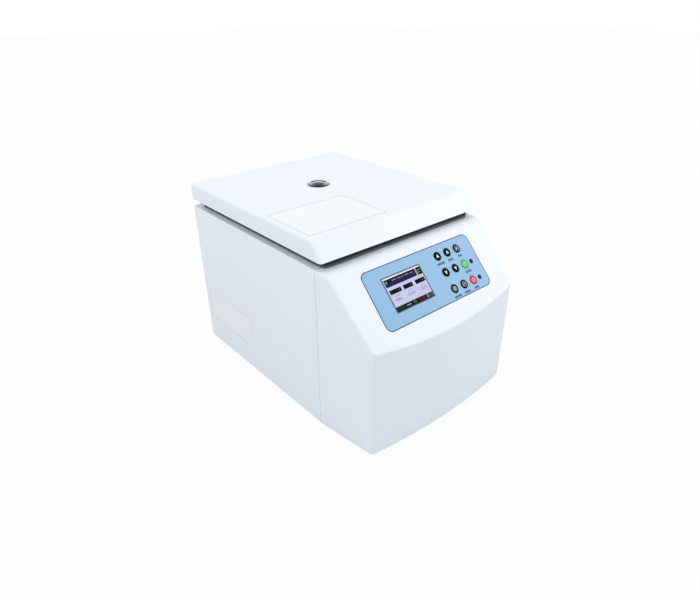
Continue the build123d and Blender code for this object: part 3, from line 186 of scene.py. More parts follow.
class Effects:
    """The shader groups that several finishes share, each built once."""

    WIDE_SHARE = 0.22
    GLOSS_SCALE, GLOSS_SWING = 60.0, 0.16
    SCRATCH_WAVE, SCRATCH_BEND = 9.0, 0.35
    SCRATCH_TURN, SCRATCH_DRAW = (0.3, 0.5, 0.7), (1, 14, 6)
    SCRATCH_START, SCRATCH_FULL = 0.72, 0.8
    RING_WAVER = 0.004
    # Painted bounce light at the foot of a wall: the size of its patches, its curve, its patchiness and its
    # least share.
    SETTLED_SCALE, SETTLED_CURVE, SETTLED_PATCHY, SETTLED_LEAST = 30.0, 1.4, 0.3, 0.85

    @staticmethod
    def start(name: str, takes: dict[str, Any], **gives: str) -> tuple[Grouped, NodeSocket]:
        """Starts a shader group, and gives it with the object's own coordinates."""
        g = Grouped(name, "ShaderNodeTree", takes, gives)
        return g, g.add("TexCoord").outputs["Object"]

    @staticmethod
    @cache
    def grain() -> NodeTree:
        """Pebbled height of a coat or a mould's texture, from two sizes of noise.

        Returns:
            The group Grain: Scale and Coarse in, Height out.
        """
        g, place = Effects.start("Grain", {"Scale": 900.0, "Coarse": 0.3}, Height="Float")
        fine = g.noise(place, g.entry["Scale"], 1.5)
        wide = g.noise(place, g.maths("MULTIPLY", g.entry["Scale"], Effects.WIDE_SHARE), 0.5)
        mixed = g.out("Mix", {"Factor": g.entry["Coarse"], "A": fine, "B": wide})
        return g.give("Height", mixed)

    @staticmethod
    @cache
    def mottle() -> NodeTree:
        """A colour that drifts a little over the surface, and a matching drift of its gloss.

        Returns:
            The group Mottle: Colour, Spread, Scale and Roughness in, Colour and Roughness out.
        """
        takes = {"Colour": (1, 1, 1, 1), "Spread": 0.02, "Scale": 5.0, "Roughness": 0.4}
        g, place = Effects.start("Mottle", takes, Colour="Color", Roughness="Float")
        swing = g.maths("MULTIPLY", g.maths("SUBTRACT", g.noise(place, g.entry["Scale"], 3.0), 0.5), 2.0)
        level = g.maths("ADD", g.maths("MULTIPLY", swing, g.entry["Spread"]), 1.0)
        tint = g.out("VectorMath", {0: g.entry["Colour"], "Scale": level}, operation="SCALE")
        g.give("Colour", tint)
        off = g.maths("SUBTRACT", g.noise(place, Effects.GLOSS_SCALE, 4.0), 0.5)
        gloss = g.maths("ADD", g.maths("MULTIPLY", off, Effects.GLOSS_SWING), 1.0)
        return g.give("Roughness", g.maths("MULTIPLY", g.entry["Roughness"], gloss))

    @staticmethod
    @cache
    def scuffs() -> NodeTree:
        """Mask of sparse fine scratches and rubbed spots.

        Returns:
            The group Scuffs: Scale and Amount in, Mask out.
        """
        g, place = Effects.start("Scuffs", {"Scale": 40.0, "Amount": 0.1}, Mask="Float")
        wave = g.add("TexNoise", {"Vector": place, "Scale": Effects.SCRATCH_WAVE, "Detail": 2.0})
        bent = g.add("Mix", {"Factor": Effects.SCRATCH_BEND, "A": place, "B": wave.outputs["Color"]},
                     data_type="VECTOR")
        drawn = g.out("Mapping", {"Vector": bent.outputs[1], "Rotation": Effects.SCRATCH_TURN,
                                            "Scale": Effects.SCRATCH_DRAW})
        lines = g.noise(drawn, g.entry["Scale"], 3.0)
        edge = g.maths("SUBTRACT", Effects.SCRATCH_START, g.entry["Amount"])
        mask = g.out("MapRange", {"Value": lines, "From Min": edge, "From Max": Effects.SCRATCH_FULL})
        return g.give("Mask", mask)

    @staticmethod
    @cache
    def turning() -> NodeTree:
        """Rings left by turning or spinning about an upright axis through Centre.

        Returns:
            The group Turning: Centre and Pitch in, Streak out.
        """
        g, place = Effects.start("Turning", {"Centre": (0, 0, 0), "Pitch": 1400.0}, Streak="Float")
        local = g.out("VectorMath", {0: place, 1: g.entry["Centre"]}, operation="SUBTRACT")
        axes = g.add("SeparateXYZ", {0: local}).outputs
        squares = [g.maths("POWER", axis, 2.0) for axis in axes[:2]]
        radius = g.maths("SQRT", g.maths("ADD", *squares))
        angle = g.maths("MULTIPLY", g.maths("ARCTAN2", axes[1], axes[0]), Effects.RING_WAVER)
        rings = g.out("CombineXYZ", {0: radius, 1: angle, 2: axes[2]})
        return g.give("Streak", g.noise(rings, g.entry["Pitch"], 2.0))

    @staticmethod
    @cache
    def rolling() -> NodeTree:
        """Fine straight lines left by rolling or brushing, drawn out by Stretch.

        Returns:
            The group Rolling: Stretch and Pitch in, Streak out.
        """
        g, place = Effects.start("Rolling", {"Stretch": (1, 30, 1), "Pitch": 60.0}, Streak="Float")
        drawn = g.out("VectorMath", {0: place, 1: g.entry["Stretch"]}, operation="MULTIPLY")
        return g.give("Streak", g.noise(drawn, g.entry["Pitch"], 3.0))

    @staticmethod
    @cache
    def settled() -> NodeTree:
        """Patchy mask of painted bounce light. It grows towards the foot of an upright wall, where the face
        below would throw light up on it.

        Returns:
            The group Settled: Low and High in, Mask out.
        """
        g, place = Effects.start("Settled", {"Low": 0.0, "High": 0.01}, Mask="Float")
        level = g.add("SeparateXYZ", {0: place}).outputs[2]
        share = g.out("MapRange", {"Value": level, "From Min": g.entry["High"],
                                             "From Max": g.entry["Low"]})
        noise = g.maths("MULTIPLY", g.noise(place, Effects.SETTLED_SCALE, 3.0), Effects.SETTLED_PATCHY)
        grown = g.maths("POWER", share, Effects.SETTLED_CURVE)
        return g.give("Mask", g.maths("MULTIPLY", grown, g.maths("ADD", noise, Effects.SETTLED_LEAST)))


# ---- finishes ------------------------------------------------------------------------------------
@dataclass(frozen=True)
class Finish:
    """A surface finish and the recipe of its procedural material.

    Bumps are the depth of the texture in millimetres, and scales are per metre. Foot is painted light:
    the lighter colour an upright wall is painted towards its foot, between the two heights of
    foot_span in millimetres, for light that the face below throws up on it.
    """

    name: str
    colour: Colour
    roughness: float = 0.45
    metallic: float = 0.0
    coat: float = 0.0
    coat_roughness: float = 0.12
    specular: float = 0.5
    spread: float = 0.015
    spread_scale: float = 5.0
    bump: float = 0.02
    grain_scale: float = 900.0
    scuffs: float = 0.0
    scuff_roughness: float = 0.12
    foot: Colour | None = None
    foot_span: Pair = (0.0, 10.0)

    def height(self, g: Graph) -> NodeSocket:
        """Builds the height of the surface's grain."""
        return g.effect(Effects.grain(), Scale=self.grain_scale)["Height"]

    def extras(self) -> dict[str, Any]:
        """The shader values that only some finishes set."""
        return {}

    def surface(self, g: Graph, plain: NodeSocket) -> NodeSocket:
        """Adds what only some finishes have and gives the whole surface."""
        return plain

    @cache
    def material(self) -> Material:
        """Builds the material on first use.

        Returns:
            The material, the same one each time.
        """
        made = bpy.data.materials.new(self.name)
        g = blank(made)
        tint = g.effect(Effects.mottle(), Colour=(*self.colour, 1), Spread=self.spread,
                        Scale=self.spread_scale, Roughness=self.roughness)
        colour, rough = tint["Colour"], tint["Roughness"]
        # Painted bounce light: a lighter colour mixed in towards the foot of an upright wall.
        if self.foot:
            low, high = (z * MM for z in self.foot_span)
            mask = g.effect(Effects.settled(), Low=low, High=high)["Mask"]
            colour = g.add("Mix", {0: mask, 6: colour, 7: (*self.foot, 1)}, data_type="RGBA").outputs[2]
        if self.scuffs:
            rubs = g.effect(Effects.scuffs(), Amount=self.scuffs)["Mask"]
            rough = g.maths("ADD", rough, g.maths("MULTIPLY", rubs, self.scuff_roughness))
        relief = g.out("Bump", {"Height": self.height(g), "Strength": 1.0, "Distance": self.bump * MM})
        shader = g.out("BsdfPrincipled", {
            "Base Color": colour, "Roughness": rough, "Normal": relief, "Metallic": self.metallic,
            "Coat Weight": self.coat, "Coat Roughness": self.coat_roughness,
            "Specular IOR Level": self.specular, **self.extras()})
        g.add("OutputMaterial", {"Surface": self.surface(g, shader)})
        return made


@dataclass(frozen=True)
class TurnedMetal(Finish):
    """Metal that was spun or turned about an upright axis."""

    metallic: float = 1.0
    centre: Point = (0.0, ROTOR_Y * MM, 0.0)
    pitch: float = 1400.0

    def height(self, g: Graph) -> NodeSocket:
        """Builds the height of rings about the axis."""
        return g.effect(Effects.turning(), Centre=self.centre, Pitch=self.pitch)["Streak"]


@dataclass(frozen=True)
class Plating(TurnedMetal):
    """Bright plating with a painted dark reflection where it is seen straight on, in place of dark
    surroundings that it would mirror.
    """

    straight_colour: Colour = (0.010, 0.020, 0.024)
    straight_roughness: float = 0.2
    straight_to: float = 0.30
    slant_from: float = 0.62

    def surface(self, g: Graph, plain: NodeSocket) -> NodeSocket:
        """Paints a dark reflection on the plating where it is seen straight on."""
        dark = {"Color": (*self.straight_colour, 1), "Roughness": self.straight_roughness}
        return g.by_angle(self.straight_to, self.slant_from, g.out("BsdfGlossy", dark), plain)


@dataclass(frozen=True)
class RolledMetal(Finish):
    """Sheet or bar whose surface has straight lines from rolling or brushing."""

    metallic: float = 1.0
    stretch: Point = (1.0, 30.0, 30.0)
    pitch: float = 60.0

    def height(self, g: Graph) -> NodeSocket:
        """Builds the height of straight lines along the least stretched direction."""
        return g.effect(Effects.rolling(), Stretch=self.stretch, Pitch=self.pitch)["Streak"]


@dataclass(frozen=True)
class Glass(Finish):
    """Smoked moulded glass whose hard coat turns bright where it is seen at a flat angle."""

    refraction: float = 1.5
    coat_colour: Colour = (0.80, 0.83, 0.92)
    coat_gloss: float = 0.08
    flat_from: float = 0.60
    flat_to: float = 0.76

    def extras(self) -> dict[str, Any]:
        """What makes the body of the glass clear."""
        return {"Transmission Weight": 1.0, "IOR": self.refraction}

    def surface(self, g: Graph, plain: NodeSocket) -> NodeSocket:
        """Adds the bright coat and lets light pass straight through.

        Args:
            g: the material's tree.
            plain: the body of the glass.

        Returns:
            The surface.
        """
        coat = g.out("BsdfGlossy", {"Color": (*self.coat_colour, 1), "Roughness": self.coat_gloss})
        seen = g.by_angle(self.flat_from, self.flat_to, plain, coat)
        path = g.add("LightPath").outputs
        lighting = g.maths("MAXIMUM", path["Is Shadow Ray"], path["Is Diffuse Ray"])
        clear = g.out("BsdfTransparent", {"Color": (*self.coat_colour, 1)})
        return g.out("MixShader", {0: lighting, 1: seen, 2: clear})


@dataclass(frozen=True)
class Lit(Finish):
    """A part of the display that gives a little light of its own colour."""

    roughness: float = 0.3
    specular: float = 0.015
    bump: float = 0.0005
    glow: float = 0.15

    def extras(self) -> dict[str, Any]:
        """The backlight."""
        return {"Emission Color": (*self.colour, 1), "Emission Strength": self.glow}


ENAMEL = Finish("white_enamel_coat", (0.872, 0.897, 0.945), 0.40, spread=0.006, bump=0.010,
                grain_scale=1200, scuffs=0.02)
MOULDING = Finish("white_moulding_skin", (0.868, 0.893, 0.943), 0.46, spread=0.006, bump=0.008,
                  grain_scale=2600)
MEMBRANE = Finish("blue_membrane", srgb(139, 184, 220), 0.42, spread=0.01, bump=0.003, grain_scale=4200)
EDGE_INK = Finish("edge_ink", srgb(30, 50, 80), 0.45, specular=0.05, bump=0.002)
CAPTION_INK = Finish("caption_ink", srgb(40, 60, 108), 0.5, bump=0.002)
WHITE_INK = Finish("white_ink", (0.88, 0.9, 0.93), 0.4, bump=0.002)
FAINT_INK = Finish("faint_outline_ink", srgb(180, 172, 184), 0.5, bump=0.002)
KEY_BLACK = Finish("black_key_cap", srgb(9, 10, 13), 0.5, specular=0.02, bump=0.003, grain_scale=3000)
KEY_GREEN = Finish("green_key_cap", srgb(60, 196, 68), 0.5, specular=0.12, bump=0.003, grain_scale=3000)
KEY_RED = Finish("red_key_cap", srgb(218, 36, 46), 0.5, specular=0.12, bump=0.003, grain_scale=3000)
LAMP_BODY = Finish("dark_lamp_lens", srgb(8, 18, 32), 0.35, specular=0.08, bump=0.001)
GLASS_BLACK = Finish("display_glass", srgb(14, 16, 22), 0.15, specular=0.3, bump=0.0005)
# The frame's foot colour is painted bounce light, lighter from 342 mm down to 334 mm in the gap under the
# lid.
FRAME_GREY = Finish("grey_frame_moulding", srgb(24, 31, 35), 0.6, specular=0.2, bump=0.02, grain_scale=1800,
                    foot=srgb(112, 128, 134), foot_span=(334.0, 342.0))
STAINLESS = TurnedMetal("spun_stainless", (0.58, 0.585, 0.59), 0.26, bump=0.004, pitch=1600, scuffs=0.05)
ALLOY = TurnedMetal("turned_alloy", (0.50, 0.515, 0.54), 0.36, bump=0.004, pitch=2200, scuffs=0.04)
CARRIER_ALLOY = RolledMetal("satin_carrier_alloy", (0.55, 0.56, 0.58), 0.34, bump=0.004, scuffs=0.04)
ZINC = RolledMetal("zinc_plate", (0.60, 0.605, 0.60), 0.34, spread=0.05, spread_scale=90, bump=0.003)
# The plating of the ring and nut carries a painted dark reflection where it is seen straight on.
CHROME = Plating("sight_ring_chrome", (0.42, 0.45, 0.50), 0.20, bump=0.0006, pitch=900)
STEEL = RolledMetal("ground_steel", (0.52, 0.52, 0.53), 0.28, bump=0.003, stretch=(30, 30, 1))
MOTOR_PAINT = Finish("motor_case_paint", (0.045, 0.05, 0.055), 0.5, bump=0.03, grain_scale=1400)
RUBBER = Finish("moulded_rubber", (0.018, 0.018, 0.02), 0.72, bump=0.02, grain_scale=2200, scuffs=0.05)
BLACK_PLASTIC = Finish("black_moulded_plastic", (0.02, 0.021, 0.023), 0.45, bump=0.012, grain_scale=2400)
BOARD = Finish("circuit_board", srgb(18, 92, 52), 0.35, coat=0.3, spread=0.12, spread_scale=240, bump=0.01)
BRASS = RolledMetal("drawn_brass", (0.72, 0.53, 0.24), 0.3, bump=0.002)
SIGHT = Glass("smoked_sight_glass", (0.02, 0.045, 0.055), 0.02, specular=0.08, spread=0.004, bump=0.0)
LINER = Finish("liner_paint", srgb(196, 201, 206), 0.5, bump=0.01, grain_scale=1300, scuffs=0.04)
LABEL_FILM = Finish("label_film", (0.90, 0.91, 0.94), 0.42, spread=0.004, bump=0.002)
# Colour of the strip that paints the seam's shadow.
SEAM_SEAL = Finish("seam_seal", srgb(128, 138, 152), 0.7, bump=0.01)
PIN_STEEL = RolledMetal("screw_steel", (0.56, 0.56, 0.57), 0.3, bump=0.002)
SCREEN_WHITE = Lit("screen_white", srgb(216, 222, 234), glow=0.15)
SCREEN_FIELD = Lit("screen_lavender", srgb(194, 195, 222), glow=0.12)
SCREEN_DARK = Lit("screen_dark", srgb(14, 22, 28), glow=0.05)
SCREEN_SLATE = Lit("screen_slate", srgb(21, 25, 40), glow=0.05)
SCREEN_NAVY = Lit("screen_navy", srgb(32, 30, 78), glow=0.1)
SCREEN_GREEN = Lit("screen_green", srgb(82, 156, 70), glow=0.12)
SCREEN_FOREST = Lit("screen_forest", srgb(16, 60, 38), glow=0.05)
SCREEN_MAROON = Lit("screen_maroon", srgb(86, 22, 36), glow=0.05)
SCREEN_GREY = Lit("screen_grey", srgb(150, 156, 172), glow=0.1)
SCREEN_FAINT = Lit("screen_faint", srgb(128, 126, 184), glow=0.1)


# ---- making pieces -------------------------------------------------------------------------------
def dress(finish: Finish, *names: str) -> None:
    """Gives a finish to pieces of the model.

    Args:
        finish: the finish.
        names: the pieces.
    """
    for name in names:
        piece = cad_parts[name]
        if not piece.material_slots:
            piece.data.materials.append(finish.material())
        for place in piece.material_slots:
            place.material = finish.material()
        LOG.info("dressed %s in %s", name, finish.name)


def settle(piece: Object, finish: Finish, body: str = "root") -> Object:
    """Finishes a new piece: its material and the body it rides on.

    Args:
        piece: the object, in place.
        finish: its finish.
        body: the body that carries it.

    Returns:
        The same object.
    """
    piece.data.materials.clear()
    piece.data.materials.append(finish.material())
    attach(piece, body)
    LOG.info("made %s on %s", piece.name, body)
    return piece


def stand(name: str, data: ID) -> Object:
    """Makes an object and puts it in the scene.

    Args:
        name: its name.
        data: its mesh, curve, lamp or camera.

    Returns:
        The object.
    """
    made = bpy.data.objects.new(name, data)
    bpy.context.scene.collection.objects.link(made)
    return made


def from_bmesh(bm: BMesh, name: str) -> Object:
    """Turns a bmesh into an object, merged, facing outwards, and smooth except at its edges.

    Args:
        bm: the mesh under construction, which is used up.
        name: the new object.

    Returns:
        The object, in the scene.
    """
    bmesh.ops.remove_doubles(bm, verts=bm.verts, dist=MERGE_WITHIN)
    bmesh.ops.recalc_face_normals(bm, faces=bm.faces)
    for edge in bm.edges:
        edge.smooth = edge.calc_face_angle(math.pi) < SHARP_ANGLE
    for face in bm.faces:
        face.smooth = True
    mesh = bpy.data.meshes.new(name)
    bm.to_mesh(mesh)
    bm.free()
    return stand(name, mesh)


def pour(helper: Object, bm: BMesh, moved: Callable[[Vector], Vector] = Vector) -> None:
    """Adds the final mesh of a helper object to a bmesh and removes the helper.

    Args:
        helper: the object, in the scene.
        bm: the mesh under construction.
        moved: gives each point its place.
    """
    shaped = bpy.data.meshes.new_from_object(helper.evaluated_get(bpy.context.evaluated_depsgraph_get()))
    for point in shaped.vertices:
        point.co = moved(point.co)
    bm.from_mesh(shaped)
    bpy.data.objects.remove(helper)
    bpy.data.meshes.remove(shaped)


@dataclass(frozen=True)
class Sheet:
    """A flat place on the object, with the two directions along it."""

    origin: Point
    across: Vector
    along: Vector

    @property
    def out(self) -> Vector:
        """The direction out of the sheet."""
        return self.across.cross(self.along)

    def at(self, u: float, v: float, w: float = 0.0) -> Vector:
        """The point at u across, v along and w out of the sheet, all in millimetres."""
        return (Vector(self.origin) + self.across * u + self.along * v + self.out * w) * MM


SLOPE = Sheet((0, -273.5, 226), RIGHT, Vector((0, 0.68962, 0.72417)))
LID_TOP = Sheet((0, 0, 382), RIGHT, REAR)
LEFT_SIDE = Sheet((-200, 0, 0), -REAR, UP)
RIGHT_SIDE = Sheet((200, 0, 0), REAR, UP)
REAR_FACE = Sheet((0, 284.5, 0), -RIGHT, UP)
TRAY_FLOOR = Sheet((0, 0, 346), RIGHT, REAR)
LINER_UNDERSIDE = Sheet((0, 0, 352), RIGHT, -REAR)


def circle(radius: float, u: float = 0.0, v: float = 0.0, count: int = 32, turn: float = 0.0) -> Outline:
    """Points round a circle, all round and not repeated."""
    steps = [turn + math.tau * k / count for k in range(count)]
    return [(u + radius * math.cos(a), v + radius * math.sin(a)) for a in steps]


def rounded(width: float, height: float, corner: float, u: float = 0.0, v: float = 0.0) -> Outline:
    """Points round a rectangle with rounded corners.

    Args:
        width, height: its sides.
        corner: the radius of its corners.
        u, v: its middle.

    Returns:
        The points, not repeated.
    """
    points = []
    for k, (su, sv) in enumerate(((1, 1), (-1, 1), (-1, -1), (1, -1))):
        cu, cv = u + su * (width / 2 - corner), v + sv * (height / 2 - corner)
        for turn in range(0, 91, 15):
            a = math.radians(90 * k + turn)
            points.append((cu + corner * math.cos(a), cv + corner * math.sin(a)))
    return points


class Print:
    """Flat shapes laid on a sheet, each a thin closed slab, gathered in one piece."""

    def __init__(self, sheet: Sheet, low: float, high: float) -> None:
        """Starts an empty print.

        Args:
            sheet: where it lies.
            low, high: its underside and top, in millimetres out of the sheet.
        """
        self.sheet, self.low, self.high = sheet, low, high
        self.bm = bmesh.new()

    def corners(self, outline: Outline, w: float) -> list[BMVert]:
        """Makes the corners of an outline at one height."""
        return [self.bm.verts.new(self.sheet.at(u, v, w)) for u, v in outline]

    def patch(self, outline: Outline) -> "Print":
        """Adds a filled shape.

        Args:
            outline: its points, in order.

        Returns:
            The print itself.
        """
        low, high = (self.corners(outline, w) for w in (self.low, self.high))
        self.bm.faces.new(low)
        self.bm.faces.new(high)
        for k in range(len(low)):
            self.bm.faces.new((low[k - 1], low[k], high[k], high[k - 1]))
        return self

    def band(self, outer: Outline, inner: Outline) -> "Print":
        """Adds the band between two outlines that have as many points each.

        Args:
            outer, inner: the two outlines, in the same order.

        Returns:
            The print itself.
        """
        loops = [self.corners(o, w) for o, w in
                 ((outer, self.low), (outer, self.high), (inner, self.high), (inner, self.low))]
        for k in range(len(outer)):
            for one, two in zip(loops, loops[1:] + loops[:1]):
                self.bm.faces.new((one[k - 1], one[k], two[k], two[k - 1]))
        return self

    def ring(self, outer: float, inner: float, u: float, v: float, count: int = 32) -> "Print":
        """Adds a round ring between two radii."""
        return self.band(circle(outer, u, v, count), circle(inner, u, v, count))

    def box(self, u0: float, u1: float, v0: float, v1: float) -> "Print":
        """Adds a filled rectangle."""
        return self.patch([(u0, v0), (u1, v0), (u1, v1), (u0, v1)])

    def number(self, text: str, u: float, v: float, size: float) -> "Print":
        """Adds a number, centred on a point.

        Args:
            text: its digits.
            u, v: the point.
            size: the height of its type.

        Returns:
            The print itself.
        """
        curve = bpy.data.curves.new("number", "FONT")
        curve.body, curve.size, curve.extrude = text, size, (self.high - self.low) / 2
        curve.align_x, curve.align_y, curve.resolution_u = "CENTER", "CENTER", 3
        middle = (self.low + self.high) / 2
        pour(stand("number", curve), self.bm, lambda p: self.sheet.at(u + p.x, v + p.y, middle + p.z))
        return self

    def piece(self, name: str, finish: Finish, slot: str, body: str = "root") -> Object:
        """Makes the gathered shapes one piece."""
        return settle(from_bmesh(self.bm, name), finish, body)


# ---- pieces that repeat --------------------------------------------------------------------------
class Repeats:
    """Geometry node trees for what repeats, each taking points and the sizes of one piece."""

    HEAD_SIDES, CROWN, SOCKET_DEPTH = 24, 0.75, 0.8
    BEND_STEPS, WIRE_SIDES = 8, 8
    BALL_SEGMENTS, BALL_RINGS = 14, 8

    @staticmethod
    def start(name: str, **sizes: float) -> Grouped:
        """Makes a tree that takes points, sizes, a direction and a finish."""
        takes = {"Points": "Geometry", **sizes, "Facing": (0, 0, 1), "Finish": "Material"}
        return Grouped(name, "GeometryNodeTree", takes, {"Pieces": "Geometry"})

    @staticmethod
    def end(g: Grouped, shape: NodeSocket) -> Grouped:
        """Puts the shape on every point, turned to face outwards, and gives it its finish.

        Args:
            g: the tree.
            shape: the geometry of one piece.

        Returns:
            The finished tree.
        """
        turned = g.out("FunctionNodeAlignRotationToVector", {"Vector": g.entry["Facing"]}, axis="Z")
        spread = g.out("GeometryNodeInstanceOnPoints", {
            "Points": g.entry["Points"], "Instance": shape, "Rotation": turned})
        real = g.out("GeometryNodeRealizeInstances", {0: spread})
        done = g.out("GeometryNodeSetMaterial", {"Geometry": real, "Material": g.entry["Finish"]})
        g.give("Pieces", done)
        return g

    @staticmethod
    @cache
    def screw_heads() -> Grouped:
        """Low button heads with a six-sided socket.

        Returns:
            The tree, which takes Head, Rise and Socket.
        """
        g = Repeats.start("Screw heads", Head=3 * MM, Rise=1.4 * MM, Socket=1.3 * MM)
        solid = disc = g.out("GeometryNodeMeshCircle", {
            "Vertices": Repeats.HEAD_SIDES, "Radius": g.entry["Head"]}, fill_type="NGON")
        top = True
        half = g.maths("MULTIPLY", g.entry["Rise"], 0.5)
        down = g.maths("MULTIPLY", g.entry["Rise"], -Repeats.SOCKET_DEPTH)
        share = g.maths("DIVIDE", g.entry["Socket"], g.maths("MULTIPLY", g.entry["Head"], Repeats.CROWN))
        for rise, scale in ((half, 1.0), (half, Repeats.CROWN), (0.0, share), (down, 1.0)):
            grown = g.add("GeometryNodeExtrudeMesh", {"Mesh": solid, "Selection": top, "Offset": (0, 0, 1),
                                                      "Offset Scale": rise, "Individual": False})
            solid, top = grown.outputs["Mesh"], grown.outputs["Top"]
            solid = g.out("GeometryNodeScaleElements", {"Geometry": solid, "Selection": top,
                                                        "Scale": scale})
            if scale is share:
                solid = Repeats.six_sided(g, solid, top)
        base = g.out("GeometryNodeFlipFaces", {0: disc})
        whole = g.add("GeometryNodeJoinGeometry", {0: solid})
        g.tree.links.new(base, whole.inputs[0])
        merged = g.out("GeometryNodeMergeByDistance", {"Geometry": whole.outputs[0]})
        return Repeats.end(g, merged)

    @staticmethod
    def six_sided(g: Grouped, solid: NodeSocket, chosen: NodeSocket) -> NodeSocket:
        """Draws a round edge in to six straight sides.

        Args:
            g: the tree.
            solid: the geometry.
            chosen: the selection to shape.

        Returns:
            The shaped geometry.
        """
        place = g.out("GeometryNodeInputPosition")
        axes = g.add("SeparateXYZ", {0: place}).outputs
        around = g.maths("ADD", g.maths("ARCTAN2", axes[1], axes[0]), math.tau)
        off = g.maths("SUBTRACT", g.maths("MODULO", around, math.pi / 3), math.pi / 6)
        pull = g.maths("DIVIDE", math.cos(math.pi / 6), g.maths("COSINE", off))
        x, y = (g.maths("MULTIPLY", axis, pull) for axis in axes[:2])
        flat = g.out("CombineXYZ", {0: x, 1: y, 2: axes[2]})
        return g.out("GeometryNodeSetPosition", {"Geometry": solid, "Selection": chosen,
                                                 "Position": flat})

    @staticmethod
    @cache
    def rims() -> Grouped:
        """Round-edged rims that follow a rectangle with rounded corners.

        Returns:
            The tree, which takes Width, Height, Corner and Wire.
        """
        g = Repeats.start("Rims", Width=20 * MM, Height=20 * MM, Corner=9.9 * MM, Wire=0.4 * MM)
        path = g.out("GeometryNodeCurvePrimitiveQuadrilateral", {
            "Width": g.entry["Width"], "Height": g.entry["Height"]})
        bent = g.out("GeometryNodeFilletCurve", {"Curve": path, "Count": Repeats.BEND_STEPS,
                                                 "Radius": g.entry["Corner"]}, mode="POLY")
        wire = g.out("GeometryNodeCurvePrimitiveCircle", {"Resolution": Repeats.WIRE_SIDES,
                                                          "Radius": g.entry["Wire"]})
        tube = g.out("GeometryNodeCurveToMesh", {"Curve": bent, "Profile Curve": wire})
        return Repeats.end(g, tube)

    @staticmethod
    @cache
    def domes() -> Grouped:
        """Low round nubs, sunk to their middle.

        Returns:
            The tree, which takes Radius and Rise.
        """
        g = Repeats.start("Domes", Radius=2 * MM, Rise=1 * MM)
        ball = g.out("GeometryNodeMeshUVSphere", {
            "Segments": Repeats.BALL_SEGMENTS, "Rings": Repeats.BALL_RINGS, "Radius": g.entry["Radius"]})
        flat = g.out("CombineXYZ", {
            0: 1.0, 1: 1.0, 2: g.maths("DIVIDE", g.entry["Rise"], g.entry["Radius"])})
        low = g.out("GeometryNodeTransform", {"Geometry": ball, "Scale": flat})
        return Repeats.end(g, low)


def repeat(g: Grouped, name: str, sheet: Sheet, places: Iterable[Sequence[float]], finish: Finish,
           slot: str, body: str = "root", **sizes: float) -> Object:
    """Makes one piece of a shape that repeats at many places of a sheet and faces out of it.

    Args:
        g: the shape's tree.
        name: the new piece.
        sheet, places: where it repeats.
        finish, body: as for settle.
        slot: not used.
        sizes: the tree's sizes by name, in millimetres.

    Returns:
        The new piece, a plain mesh.
    """
    mesh = bpy.data.meshes.new(name)
    mesh.from_pydata([sheet.at(*place) for place in places], [], [])
    helper = stand(name, mesh)
    modifier = helper.modifiers.new("repeat", "NODES")
    modifier.node_group = g.tree
    for title, size in sizes.items():
        modifier[g.sockets[title]] = size * MM
    modifier[g.sockets["Facing"]] = sheet.out
    modifier[g.sockets["Finish"]] = finish.material()
    bm = bmesh.new()
    pour(helper, bm)
    return settle(from_bmesh(bm, name), finish, body)


# ---- the object's assemblies ---------------------------------------------------------------------
@dataclass(frozen=True)
class BareLabel:
    """An unprinted label: a film with rounded corners and a faint line just inside its edge.

    Film and line are heights out of the sheet, and insets and bends say how much smaller the line's
    two edges are and how round their corners.
    """

    name: str
    sheet: Sheet
    body: str
    size: Pair
    middle: Pair
    film: Pair
    line: Pair
    insets: Pair
    bends: Pair
    corner: float = 3.0

    def outline(self, inset: float, corner: float) -> Outline:
        """The label's edge, made smaller."""
        width, height = (side - inset for side in self.size)
        return rounded(width, height, corner, *self.middle)

    def build(self) -> None:
        """Lays the film and draws its line."""
        film = Print(self.sheet, *self.film).patch(self.outline(0.0, self.corner))
        film.piece(self.name + "_film", LABEL_FILM, "white_enamel", self.body)
        line = Print(self.sheet, *self.line).band(*map(self.outline, self.insets, self.bends))
        line.piece(self.name + "_outline", FAINT_INK, "white_enamel", self.body)


@dataclass
class Cabinet:
    """Bent and welded steel cover, base plate and the bare label place on the left side."""

    label: BareLabel = BareLabel(
        "side_label", LEFT_SIDE, "root", size=(178.0, 76.0), middle=(-173.0, 104.0), film=(-SUNK, 0.02),
        line=(0.01, 0.04), insets=(4.0, 5.4), bends=(3.0, 2.3))
    seam_y: float = -145.5
    seam_width: float = 0.5
    seam_depth: Pair = (-0.3, 0.03)
    seam_ends: Pair = (14.0, 330.0)

    def build(self) -> None:
        """Dresses the shell, lays the label and lays a grey strip in the seam at the front moulding as its
        painted shadow.
        """
        dress(ENAMEL, "cabinet_wrap", "chassis_top")
        dress(ZINC, "base_plate", "chassis_posts", "guard_ring")
        dress(PIN_STEEL, "rear_screws")
        self.label.build()
        # Painted shade: a grey strip in each side's seam stands for the seam's shadow.
        for side, sheet in (("left", LEFT_SIDE), ("right", RIGHT_SIDE)):
            at, half = self.seam_y * sheet.across.y, self.seam_width / 2
            seal = Print(sheet, *self.seam_depth).box(at - half, at + half, *self.seam_ends)
            seal.piece(f"seam_seal_{side}", SEAM_SEAL, "rubber")


class Mark(Enum):
    """The sign on a key."""

    UP = "up"
    DOWN = "down"
    RING_PLAY = "ring with a triangle"
    RING_POWER = "open ring with a bar"
    RING_SET = "ring with a smaller ring"
    RING_BAR = "ring with a bar across"


